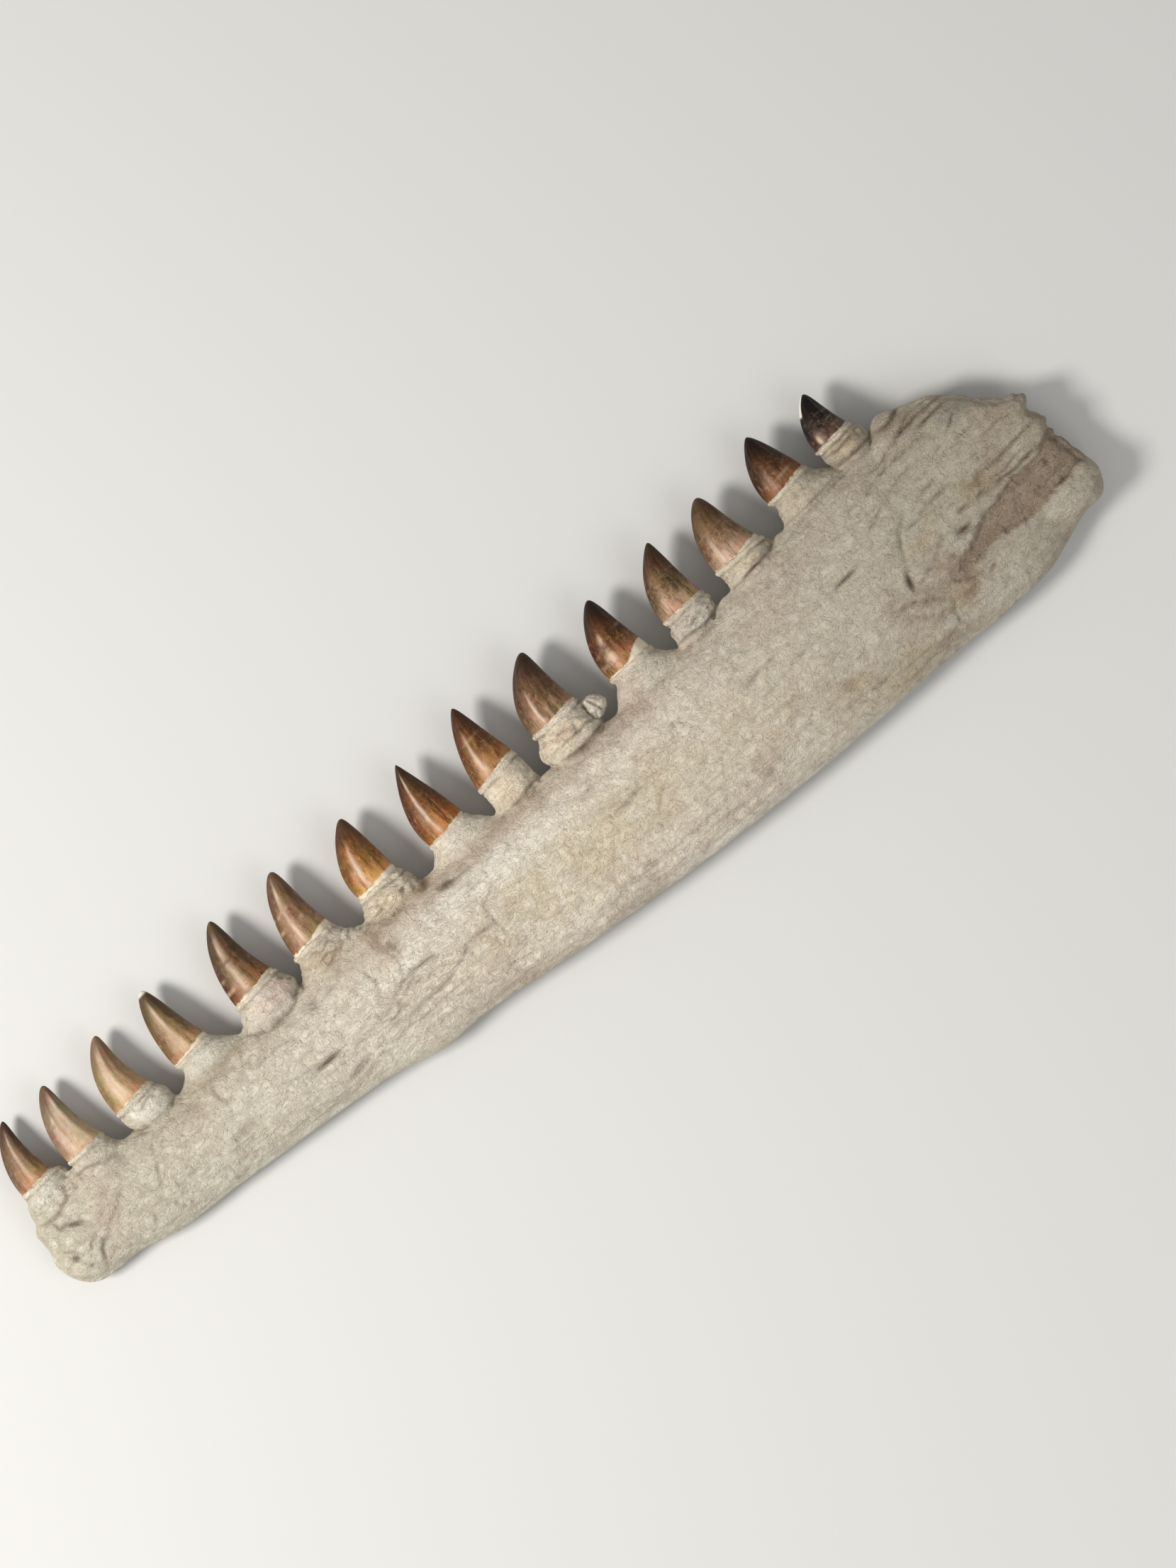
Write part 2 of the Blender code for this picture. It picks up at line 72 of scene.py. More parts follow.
# Heights of the outer and the inner face, and the shape of the rim between them
OUTER_FACE = [(-336, 20), (-310, 23), (-250, 26), (-150, 29), (0, 33), (120, 35), (220, 32), (293, 27)]
INNER_FACE = [
    (-336, -1.5), (-250, -1.5), (-190, 0.5), (-100, 2.5), (60, 2.5), (150, 0.8), (200, -1.5), (293, -1.5),
]
LOWER_RIM_SHARE = 0.40
UPPER_RIM_SHARE = 0.50
LOWER_BLUNT = 2.1
UPPER_BLUNT = 2.9
FRONT_BLUNT = 2.4
REAR_BLUNT = 5.0
INNER_BLUNT = 2.6
RIM_TURN = 15
REAR_FROM = 262
REAR_TO = 284
FRONT_FROM = -318
FRONT_TO = -332
LEDGE_DEPTH = 3.0
LEDGE_FROM = 0.10
LEDGE_TO = 0.30
LEDGE_FADE = (205, 225)
GROOVE_LINE = [(-312, -17), (-240, -26), (-160, -33), (-110, -38)]
GROOVE_DEPTH = 4.0
GROOVE_HALF = 5.0
GROOVE_FADE = 10.0

# Splenial and rock, as in the part's source
SPLENIAL_FRONT = -135
SPLENIAL_REAR = 306
SPLENIAL_TOP = [(-135, -38), (-60, -28), (60, -22), (150, -16), (220, -10), (305, -7)]
SPLENIAL_THICK = [(-135, 3.5), (-60, 6), (60, 8), (150, 8.5), (305, 9)]
SPLENIAL_LOW = [(-135, 7), (80, 6), (112, 5), (148, -8), (305, -8)]
SPLENIAL_OUTER = [
    (-135, -75), (176, -68), (190, -55), (203, -43), (215, -29), (240, -25), (270, -23), (305, -15),
]
THROUGH_FROM = 167
ABOVE_ALL = 45.0
BELOW_ALL = -5.0
ROCK_OUTLINE = [
    (204, -16), (225, -14), (240, -11), (260, -8), (275, -5), (305, 2), (305, -42), (216, -42), (206, -30),
]
ROCK_FLOOR = 8.0
ROCK_GROWTH = 1.4

# Room for the splenial: step between its rings, waves of its edge, slope and step at its upper edge
BED_STEP = 2.0
BED_WAVE = [(0.5, (9, 9, 9), 31)]
BED_SLOPE = 1.0
BED_ROOF = 0.5

# Upper and lower edge of the brown band on the outer face, how it tapers to the front, its soft
# edge, how far it lies below the bone, the share of that at its front, and where it is all reached
ROCK_TOP = [
    (205, -24), (212, -21), (222, -18.2), (232, -13.6), (242, -10.6), (254, -7.5), (265, -5.8),
    (276, -3.6), (283, 0), (305, 6),
]
ROCK_LOW = [
    (205, -29), (213, -29), (224, -27), (236, -24.6), (242, -25.3), (258, -26), (270, -23.3),
    (280, -20.8), (305, -17),
]
ROCK_TAPER = 0.6
ROCK_BLEND = (-1.0, 0.8)
ROCK_DROP = 2.3
ROCK_FRONT_DROP = 0.3
ROCK_DEEPENS = (208, 232)

# Teeth. x and base are the middle of the crown's base, width and tilt its length there and how
# much higher its rear end is, height and lean the way from there to the tip. bow is how far the
# middle of the crown bends towards the front, swell how much it is fuller at mid-height, and blunt
# how it narrows: 0.5 gives a round tip, 1 a sharp one. front and rear are points down the root.
Tooth = collections.namedtuple("Tooth", "x base width tilt height lean bow swell blunt front rear")
TEETH = [
    Tooth(-318.3, 20.2, 19.4, 1.5, 33.8, 4.0, 2.0, 0.00, 0.55,
          [(-328.4, 16.5), (-331.3, 10.5), (-330.3, 6.0)], [(-305.8, 20.2), (-303.2, 17.0), (-302.3, 13.0)]),
    Tooth(-290.0, 19.2, 21.4, 1.5, 36.2, 1.5, 2.3, 0.00, 0.50,
          [(-300.3, 16.0), (-300.6, 13.0), (-301.3, 9.0)], [(-278.2, 17.5), (-276.3, 14.0), (-273.0, 10.0)]),
    Tooth(-256.8, 23.2, 22.0, 3.0, 35.2, 2.8, 2.7, 0.00, 0.48,
          [(-267.8, 18.0), (-267.2, 13.0), (-264.0, 8.5)], [(-243.5, 22.0), (-240.3, 17.5), (-240.3, 11.0)]),
    Tooth(-220.6, 23.6, 21.8, 2.7, 37.9, -2.3, 2.2, 0.00, 0.50,
          [(-230.1, 18.5), (-232.5, 15.0), (-237.5, 11.0)], [(-205.5, 21.3), (-200.0, 17.3), (-194.0, 13.0)]),
    Tooth(-178.2, 28.2, 25.5, 3.5, 38.9, 2.0, 2.3, -0.02, 0.55,
          [(-191.4, 24.0), (-194.0, 19.0), (-197.0, 14.0)], [(-163.5, 25.0), (-159.6, 20.3), (-160.5, 15.0)]),
    Tooth(-142.1, 28.4, 24.2, 2.6, 39.0, 3.4, 1.4, 0.00, 0.48,
          [(-154.7, 24.0), (-157.5, 19.0), (-160.5, 14.0)], [(-128.3, 26.5), (-124.5, 23.0), (-117.0, 18.5)]),
    Tooth(-100.7, 29.8, 22.8, 0.8, 36.8, 4.3, 1.5, 0.20, 0.50,
          [(-113.2, 27.0), (-115.7, 23.0), (-118.0, 19.0)], [(-86.3, 27.0), (-85.3, 23.5), (-84.5, 19.0)]),
    Tooth(-58.7, 30.0, 22.4, 2.5, 40.3, -0.3, 2.1, 0.25, 0.70,
          [(-70.8, 26.0), (-73.5, 22.0), (-77.0, 18.5)], [(-45.0, 29.0), (-40.5, 25.0), (-35.0, 20.5)]),
    Tooth(-22.7, 37.8, 24.7, 4.5, 36.8, 1.7, 1.3, 0.05, 0.64,
          [(-34.4, 31.0), (-34.8, 26.0), (-36.0, 20.0)], [(-9.4, 34.0), (-8.8, 28.0), (-8.0, 21.5)]),
    Tooth(15.1, 40.0, 26.9, 2.0, 35.1, 5.9, 2.1, 0.11, 0.50,
          [(1.9, 36.0), (-2.5, 30.3), (-0.8, 22.5)], [(29.5, 36.0), (31.5, 30.0), (33.0, 22.0)]),
    Tooth(59.7, 38.2, 25.0, 2.0, 36.5, 2.3, 2.2, 0.12, 0.53,
          [(47.7, 35.0), (44.0, 29.0), (39.0, 22.5)], [(73.7, 36.0), (78.0, 32.5), (84.0, 28.0)]),
    Tooth(95.8, 43.6, 23.0, 1.0, 34.9, 6.0, 1.3, 0.16, 0.58,
          [(84.6, 39.5), (83.3, 35.0), (82.5, 29.0)], [(109.2, 40.5), (109.0, 36.5), (107.5, 31.5)]),
    Tooth(132.5, 46.5, 27.6, 1.0, 34.2, 0.7, 2.6, 0.02, 0.52,
          [(119.2, 43.0), (119.5, 39.0), (119.8, 34.0)], [(147.6, 44.5), (148.5, 42.5), (148.0, 37.0)]),
    Tooth(171.2, 58.5, 24.3, 4.0, 30.0, -0.8, 1.9, 0.13, 0.60,
          [(160.5, 53.5), (159.4, 49.0), (158.3, 43.0)], [(185.5, 57.0), (190.0, 54.0), (198.0, 49.0)]),
    Tooth(202.6, 62.6, 20.8, 2.5, 25.2, 1.7, 1.5, 0.04, 0.53,
          [(193.0, 58.5), (192.8, 55.5), (194.0, 50.0)], [(214.8, 61.5), (217.7, 57.0), (217.0, 50.5)]),
]
CROWN_THICK = 0.84
TOOTH_LEVEL = 0.52
TIP_SINK = 3.5
CROWN_PINCH = 0.12
FACETS = 5

# Painted shade and highlight of a crown: how dark the painted shade of its front side is, where the shade
# of its front and rear side ends across it and starts up it, where its painted highlight streak starts and
# fades, and where its border rises
FRONT_SHADE = 0.75
FRONT_SIDE = (0.04, 0.9)
REAR_SIDE = (0.06, 0.4)
FRONT_SHADE_STARTS = (-0.05, 0.15)
REAR_SHADE_STARTS = (-0.05, 0.6)
STREAK_STARTS = (0.0, 0.1)
STREAK_ENDS = 0.12
STREAK_SHOWS = 0.8
STREAK_WANDER = 0.4
BORDER_RISES = (0.35, 1.0)

# How far the relief stays under the faces of the solid, on top and at the sides
FACE_ROOM = 0.85
SIDE_ROOM = 0.15

# How much thicker than the crown's base the root is at its neck and at each point down its side,
# and, inside the bone, its depth under the last of them, its share of the length there and its spare
NECK_STEP = 0.5
ROOT_SPARES = [1.4, 1.6, 1.0]
ROOT_ANCHORS = [(6.5, 0.85, -1.0), (13.0, 0.55, -4.0)]

# Rings that close the root inside the crown: how much narrower they are, and how they climb
NECK_INSETS = (0.5, 1.3, 2.6)
NECK_LIFT = (0.25, 0.1)

# Rings that close the crown inside the root: how deep they lie and how much narrower they are
CROWN_FEET = ((2.4, 1.8), (1.1, 0.8))

# New tooth that pushes out of the root behind the tenth tooth: its edge towards the rear, from its
# foot up, where its front side hides in the root, how thick it is, and its folds, each with
# strength, width and line; then their depth, where its shade starts, and the strength of its masks
NUB_EDGE = [(32.5, 26.0), (36.0, 27.6), (39.0, 30.4), (40.2, 32.6), (38.8, 35.2), (36.0, 37.8), (32.5, 39.0)]
NUB_FRONT = 27.8
NUB_THICK = 12.5
NUB_FOLDS = [
    (1.0, 0.8, [(31.5, 38.5), (33.2, 35.5), (34.6, 32), (36.4, 28.6)]),
    (0.7, 0.7, [(34.6, 32), (32, 29.5), (31, 27)]),
]
NUB_FOLD_DEPTH = 1.1
NUB_SHADED = (-32.5, -29.5)
NUB_DARK = 0.7
NUB_PALE = 0.7
NUB_BROWN = 0.5

# Relief of a crown: facets, lumps, and where both start and end as shares of the height; heights,
# half width and depth of the cracks across the enamel, and where noise lets them show; and the
# height up to which a crown's edges are read
FACET_DEPTH = 0.16
LUMP_DEPTH = 0.12
BODY_STARTS = (-0.02, 0.12)
BODY_ENDS = (0.7, 0.95)
ENAMEL_CRACKS = (0.18, 0.34, 0.52)
ENAMEL_CRACK_HALF = 0.010
ENAMEL_CRACK_DEPTH = 0.15
ENAMEL_CRACK_SHOWS = (-0.3, 0.2)
EDGES_END = 0.999

# Finish of each tooth: colours at its base, its middle and its tip; its painted highlight streak's place
# from front edge to rear edge, strength, half width and upper end; how dark the painted shade of its rear
# side is and how cracked it is; the enamel's lower border at its middle and how much higher it is at the
# rear edge, as shares of the height; how lumpy its root is, how strong the enamel's dark lines are, and how
# much the root blends into the bone
Finish = collections.namedtuple(
    "Finish", "base middle tip streak_at streak width top shade cracks border rise lumps lined blend")
FINISHES = [
    Finish((0.38, 0.215, 0.09), (0.22, 0.135, 0.070), (0.07, 0.038, 0.023),
           0.58, 0.7, 0.09, 0.80, 0.7, 0.2, 0.00, 0.03, 0.6, 0.40, 0.7),
    Finish((0.52, 0.36, 0.22), (0.40, 0.29, 0.20), (0.15, 0.09, 0.055),
           0.68, 0.9, 0.10, 0.85, 0.45, 0.4, 0.00, 0.01, 0.5, 0.22, 0.9),
    Finish((0.50, 0.30, 0.15), (0.40, 0.285, 0.155), (0.22, 0.135, 0.08),
           0.47, 0.8, 0.12, 0.80, 0.5, 0.3, 0.01, 0.02, 0.5, 0.30, 0.0),
    Finish((0.44, 0.27, 0.13), (0.26, 0.16, 0.075), (0.11, 0.07, 0.038),
           0.50, 0.8, 0.09, 0.80, 0.8, 0.2, 0.02, 0.05, 0.2, 0.45, 1.0),
    Finish((0.26, 0.125, 0.050), (0.17, 0.085, 0.040), (0.12, 0.072, 0.043),
           0.45, 0.8, 0.08, 0.80, 0.6, 1.0, 0.01, 0.04, 0.8, 0.55, 0.0),
    Finish((0.38, 0.23, 0.12), (0.29, 0.165, 0.090), (0.15, 0.088, 0.050),
           0.42, 1.0, 0.05, 0.85, 0.5, 1.0, 0.03, 0.06, 1.0, 0.50, 0.9),
    Finish((0.60, 0.31, 0.09), (0.30, 0.13, 0.036), (0.085, 0.038, 0.023),
           0.41, 1.0, 0.06, 0.62, 0.6, 0.2, 0.05, 0.05, 1.2, 0.60, 0.1),
    Finish((0.42, 0.175, 0.045), (0.19, 0.070, 0.022), (0.055, 0.032, 0.018),
           0.40, 1.0, 0.05, 0.85, 0.7, 0.3, 0.00, 0.05, 0.4, 0.65, 1.0),
    Finish((0.42, 0.205, 0.07), (0.20, 0.078, 0.022), (0.065, 0.028, 0.016),
           0.36, 0.9, 0.06, 0.60, 0.7, 0.4, 0.01, 0.03, 0.6, 0.65, 0.0),
    Finish((0.38, 0.22, 0.125), (0.18, 0.092, 0.046), (0.036, 0.019, 0.011),
           0.34, 1.0, 0.03, 0.48, 0.6, 0.3, 0.01, 0.04, 0.9, 0.65, 0.0),
    Finish((0.44, 0.21, 0.09), (0.13, 0.045, 0.014), (0.016, 0.008, 0.006),
           0.33, 0.25, 0.06, 0.55, 0.6, 0.5, 0.02, 0.15, 0.4, 0.55, 1.0),
    Finish((0.46, 0.30, 0.18), (0.165, 0.090, 0.040), (0.045, 0.025, 0.012),
           0.30, 0.3, 0.05, 0.35, 0.6, 0.2, 0.00, 0.02, 1.1, 0.60, 0.1),
    Finish((0.48, 0.32, 0.21), (0.22, 0.125, 0.058), (0.085, 0.045, 0.022),
           0.27, 1.0, 0.035, 0.42, 0.5, 0.2, 0.01, 0.07, 0.7, 0.60, 0.3),
    Finish((0.24, 0.105, 0.042), (0.080, 0.027, 0.008), (0.006, 0.002, 0.001),
           0.32, 0.15, 0.06, 0.45, 0.7, 0.5, 0.00, 0.04, 0.5, 0.45, 1.0),
    Finish((0.12, 0.060, 0.042), (0.018, 0.009, 0.006), (0.0015, 0.001, 0.0007),
           0.25, 0.2, 0.06, 0.30, 0.6, 0.3, 0.00, 0.02, 0.6, 0.40, 0.1),
]

# Light and dark spots of the enamel: the light ones mostly painted highlights, a few pale patches of its
# own colour; the dark ones dark marks, and on the tenth tooth painted shade of its rear side. For each:
# tooth, place from front edge to rear edge, height, their half sizes and their strength
LIGHT_SPOTS = [
    (2, 0.36, 0.55, 0.07, 0.05, 0.7),
    (2, 0.33, 0.42, 0.10, 0.04, 0.4),
    (2, 0.38, 0.22, 0.16, 0.18, 0.6),
    (5, 0.43, 0.63, 0.08, 0.11, 1.0),
    (5, 0.46, 0.25, 0.14, 0.22, 0.4),
    (9, 0.40, 0.20, 0.10, 0.14, 0.3),
    (11, 0.33, 0.22, 0.11, 0.08, 0.8),
    (11, 0.33, 0.49, 0.06, 0.07, 0.9),
    (14, 0.62, 0.17, 0.22, 0.025, 0.35),
    (15, 0.24, 0.13, 0.06, 0.09, 0.9),
]
DARK_SPOTS = [
    (5, 0.46, 0.475, 0.16, 0.012, 0.9),
    (5, 0.20, 0.35, 0.14, 0.010, 0.5),
    (6, 0.62, 0.20, 0.10, 0.06, 0.3),
    (10, 0.80, 0.30, 0.03, 0.25, 0.6),
    (10, 0.90, 0.25, 0.02, 0.22, 0.6),
    (11, 0.34, 0.37, 0.10, 0.018, 0.6),
]

# Pale edges of the enamel: wear at the tip of the fourth tooth, a painted highlight along the front edge of
# the fifteenth. For each: tooth, height from and to, and reach from the front edge; then how softly they
# end up the crown and across it
WORN_AND_HIGHLIT_EDGES = [
    (4, 0.965, 1.1, 9.0),
    (15, 0.70, 1.1, 1.1),
]
PALE_EDGE_ENDS = 0.03
PALE_EDGE_SOFTNESS = 0.3

# Sampling of the meshes: rings and spokes, how they crowd at the rim, and the sharpest smooth angle
STATIONS = 560
FRONT_SPOKES = 76
REAR_SPOKES = 120
OUTER_LEVELS = 42
INNER_LEVELS = 12
LEVEL_BLEND = 0.45
LEVEL_POWER = 1.6
TOOTH_SIDES = 72
CROWN_RINGS = 44
ROOT_RINGS = 30
NUB_RINGS = 30
SHARP_ANGLE = 50

# Hollows in the outer face: middle, half length, half width, depth, turn in degrees, darkness; the dark is
# painted shade and dirt in the hollow
HOLLOWS = [
    (-171, -20.8, 9.0, 1.4, 2.2, 3, 0.9), (-180, -20.0, 7, 2.4, 0.8, 2, 0.2),
    (-188, -18, 8, 0.9, 0.5, -14, 0.3), (-160.5, -33, 8, 1.5, 1.3, 14, 0.5),
    (-222, -22, 13, 2.4, 0.9, 2, 0.3), (-230, -28, 9, 1.8, 0.6, -3, 0.2),
    (-76, -18.4, 9, 0.9, 1.0, 4, 0.5), (18, -12.3, 10.5, 0.9, 1.6, 4, 0.8),
    (18, -9.0, 10, 3.2, 0.8, 4, 0.12), (163.5, 5.3, 9.0, 0.8, 1.5, 8, 1.0),
    (101, -4, 6.5, 1.4, 0.9, 8, 0.5), (113, -2, 3, 1.0, 0.6, 10, 0.4), (80, -44, 4, 1.4, 0.8, 5, 0.5),
    (54, -48, 11, 1.1, 0.6, -3, 0.35), (0, -44.6, 16, 0.9, 0.7, 5, 0.4),
    (-207, -38, 19, 0.8, 0.4, 3, 0.25), (-325.5, -20, 2.3, 1.7, 1.5, 0, 0.8),
    (-321.5, -27.2, 1.6, 1.2, 0.8, -30, 0.4), (-270.5, -28.8, 1.3, 1.1, 0.7, 0, 0.5),
    (-268.9, -32.5, 1.4, 1.2, 0.8, 0, 0.5), (-240.4, -37.7, 1.6, 1.3, 0.7, 0, 0.4),
    (-161, 3, 2.6, 2.0, 0.9, -40, 0.45), (223.5, -33.8, 3, 1.0, 1.0, 20, 0.7),
    (-74, 10.2, 5.5, 1.6, 2.2, -10, 0.85), (-66, 9.6, 6.5, 1.1, 1.2, 4, 0.5),
    (-68, 13, 10, 3.0, 0.6, 4, 0.1), (-83, 17.5, 2.4, 3.0, 1.8, -35, 0.7),
    (-159.5, 16, 1.5, 3.2, 2.0, -20, 0.9), (-160, 6, 4.5, 1.8, 0.9, 10, 0.4),
    (-113, 2.5, 2.5, 2.5, 0.8, 0, 0.5), (136, -36, 5, 3.0, 1.2, -10, 0.15),
    (224, -10.8, 4.8, 1.7, 1.3, -5, 1.0), (209, -35.8, 6, 1.3, 0.8, 8, 0.4),
    (236, -46.5, 1.2, 1.0, 0.6, 0, 0.5), (242, -3, 5, 1.5, 0.7, -10, 0.5),
    (229, -2.7, 5, 0.8, 0.7, -3, 0.7), (275, -10, 2.6, 1.1, 1.1, 80, 1.0),
    (276, -22, 5, 0.8, 1.1, 5, 0.9), (244, 4, 4, 1.4, 0.7, 60, 0.5), (-279, 6, 3, 6.0, 1.4, 25, 0.3),
    (-203, 7, 4, 1.5, 0.8, 70, 0.3), (-235, 3, 5, 9.0, 0.8, 20, 0.1),
]

# Cracks and creases in the outer face: width, depth and darkness, then the lines that share them; the dark
# is painted shade and dirt in them
CRACKS = [
    ((1.2, 1.3, 0.8), [
        [(-324.3, 0.5), (-322.7, -3.5), (-319, -4.6), (-315.9, -6.8), (-310.7, -9.2), (-308, -12)],
    ]),
    ((0.9, 0.8, 0.4), [
        [(-329.6, -12.4), (-324, -16.4), (-321.5, -20.4), (-316.7, -20.4), (-314, -18), (-309, -17)],
    ]),
    ((1.1, 1.0, 0.55), [
        [(-304.7, -20.4), (-309.5, -21.2), (-312, -23.6), (-314.3, -27.6), (-316.7, -32.5)],
    ]),
    ((0.9, 0.6, 0.3), [
        [(-304.7, -20.4), (-302, -17), (-293, -11.6), (-288.6, -7.6), (-283.8, -2.7), (-282.2, 6)],
    ]),
    ((0.9, 0.7, 0.35), [[(-258.9, 5.3), (-265.3, -4.3), (-266.9, -10), (-270.1, -16.4), (-275, -22)]]),
    ((0.8, 0.7, 0.4), [[(-263.7, -17.2), (-265.3, -22.4), (-255, -22), (-250, -22.8)]]),
    ((0.8, 0.7, 0.35), [[(-282, -26), (-285.4, -31)]]),
    ((0.7, 0.6, 0.3), [[(-292, -19.6), (-284.6, -18)]]),
    ((0.9, 0.7, 0.35), [[(-222, 6), (-224, 0), (-221, -7), (-224, -14)]]),
    ((0.7, 0.5, 0.25), [[(-205, 8), (-201, 2), (-202, -6)]]),
    ((0.8, 0.7, 0.45), [[(-158, 3.5), (-150, 5), (-142.8, 6.6)]]),
    ((1.2, 1.2, 0.55), [[(-129.5, -17.2), (-120, -13.4), (-111.4, -11.9), (-101.8, -12.4), (-94, -17)]]),
    ((1.1, 1.0, 0.45), [
        [(-139, -25.8), (-127.6, -27.7), (-114, -27.7), (-100, -25.8), (-90, -21.9), (-84, -18.6),
         (-70.4, -17.2)],
    ]),
    ((0.9, 0.8, 0.5), [
        [(-141, -19), (-136, -20.5), (-131, -19), (-127, -21.5)],
        [(-140, -22.5), (-134, -24), (-128, -22.8), (-124, -24.5)],
    ]),
    ((0.9, 0.7, 0.35), [
        [(-131.4, 3.8), (-130, -4), (-133, -12.4)],
        [(-117, 3.8), (-115.5, -5), (-119, -12)],
    ]),
    ((0.9, 0.8, 0.4), [[(-127, -20), (-119, -17), (-110, -17.5), (-103, -20)]]),
    ((0.8, 0.7, 0.4), [[(-143, -31), (-125, -33), (-105, -31.5), (-90, -32)]]),
    ((0.8, 0.7, 0.35), [[(-133, -38), (-118, -40), (-100, -38), (-84, -40)]]),
    ((0.9, 0.9, 0.5), [[(-56, -1), (-61, -6), (-66.6, -9), (-68, -15), (-67.4, -21), (-66.6, -26.7)]]),
    ((0.7, 0.6, 0.35), [
        [(24, -2), (27, -8), (26, -14)],
        [(38, -16), (32, -20), (25, -27)],
        [(53, 9), (57, 3), (56, -3)],
    ]),
    ((0.8, 0.7, 0.4), [[(-22, -46.3), (0, -44.6), (22, -43.8), (60, -42)]]),
    ((1.5, 1.8, 1.0), [[(187.2, -19), (187.6, -15), (189, -11), (191, -8)]]),
    ((0.9, 1.0, 0.35), [[(191, -8), (194, 0), (199, 8), (206, 14)]]),
    ((1.0, 1.0, 0.5), [[(186, -19.8), (196, -16.5), (203, -13.4), (209, -9.5), (214, -5.6)]]),
    ((1.1, 1.4, 1.0), [[(222, 43.2), (238, 45.6), (256, 46.6)]]),
    ((1.0, 1.2, 0.9), [[(234, 40), (246, 42.4), (258, 42.6)]]),
    ((0.9, 0.9, 0.6), [[(202, 37.5), (214, 39), (226, 43.6), (236, 48.6), (250, 48.8)]]),
    ((0.8, 0.8, 0.5), [[(212, 35), (226, 36.5), (240, 37)]]),
    ((0.8, 0.7, 0.4), [
        [(196, 30), (206, 34), (213, 36.5)],
        [(204, 24), (216, 28), (228, 30)],
        [(209, 11.5), (218, 15), (230, 17)],
    ]),
    ((1.1, 1.2, 0.9), [[(217.5, 52.6), (224, 51.2), (230, 52.0), (236, 54.6)]]),
    ((1.0, 1.0, 0.7), [[(232, -1), (250, -3.4), (264, -3.4), (276, -1.4), (287, 2.4)]]),
    ((1.0, 1.0, 0.6), [[(236, 4), (252, 5), (268, 7), (284, 9.4)]]),
    ((0.8, 0.7, 0.45), [[(196, 4), (210, 7), (222, 10), (238, 11)]]),
    ((0.9, 1.0, 0.45), [[(200, -34), (196.5, -39), (196, -43.4), (197.4, -48)]]),
    ((0.8, 0.7, 0.5), [[(178, -48.6), (186, -47.4), (194, -45.5), (199, -42)]]),
    ((0.8, 0.7, 0.4), [
        [(150, 36), (170, 41.5), (192, 45), (214, 47)],
        [(120, -44), (140, -43), (160, -46), (176, -45)],
        [(188, -37), (198, -39), (208, -38.6), (216, -38.8)],
    ]),
    ((0.7, 0.6, 0.3), [[(96, -14), (112, -12), (128, -9), (142, -8)]]),
    ((0.7, 0.6, 0.35), [[(186, 16), (194, 19.5), (202, 23.6)], [(219, 19.7), (230, 24), (242, 28.7)]]),
    ((0.7, 0.6, 0.4), [[(197, 31), (210, 34.5), (222, 40)]]),
    ((0.8, 0.8, 0.5), [[(244, 30), (250, 33), (256, 36.5)]]),
    ((0.7, 0.6, 0.35), [[(232, 21), (246, 25), (260, 26)]]),
    ((0.7, 0.6, 0.4), [[(256, 18), (268, 20), (278, 18)]]),
    ((0.7, 0.6, 0.35), [[(240, -1.6), (256, -0.4), (272, 2.6)]]),
    ((0.7, 0.6, 0.3), [[(-200, -2), (-186, -1), (-172, -3)], [(-186, -37), (-172, -39), (-158, -38)]]),
    ((0.7, 0.6, 0.35), [[(-150, -30), (-138, -33), (-128, -34)]]),
    ((0.9, 0.8, 0.6), [[(172, -21), (184, -24), (193, -29), (199, -33)]]),
    ((0.8, 0.8, 0.5), [[(200, -24), (206, -29), (214, -32), (222, -31)]]),
    ((0.8, 0.7, 0.5), [[(160, -52), (172, -50), (184, -49.5), (194, -46)]]),
    ((0.8, 0.7, 0.4), [[(180, -33), (190, -35), (197, -38)]]),
    ((0.7, 0.6, 0.4), [[(236, 8), (246, 10), (258, 11.5)]]),
]

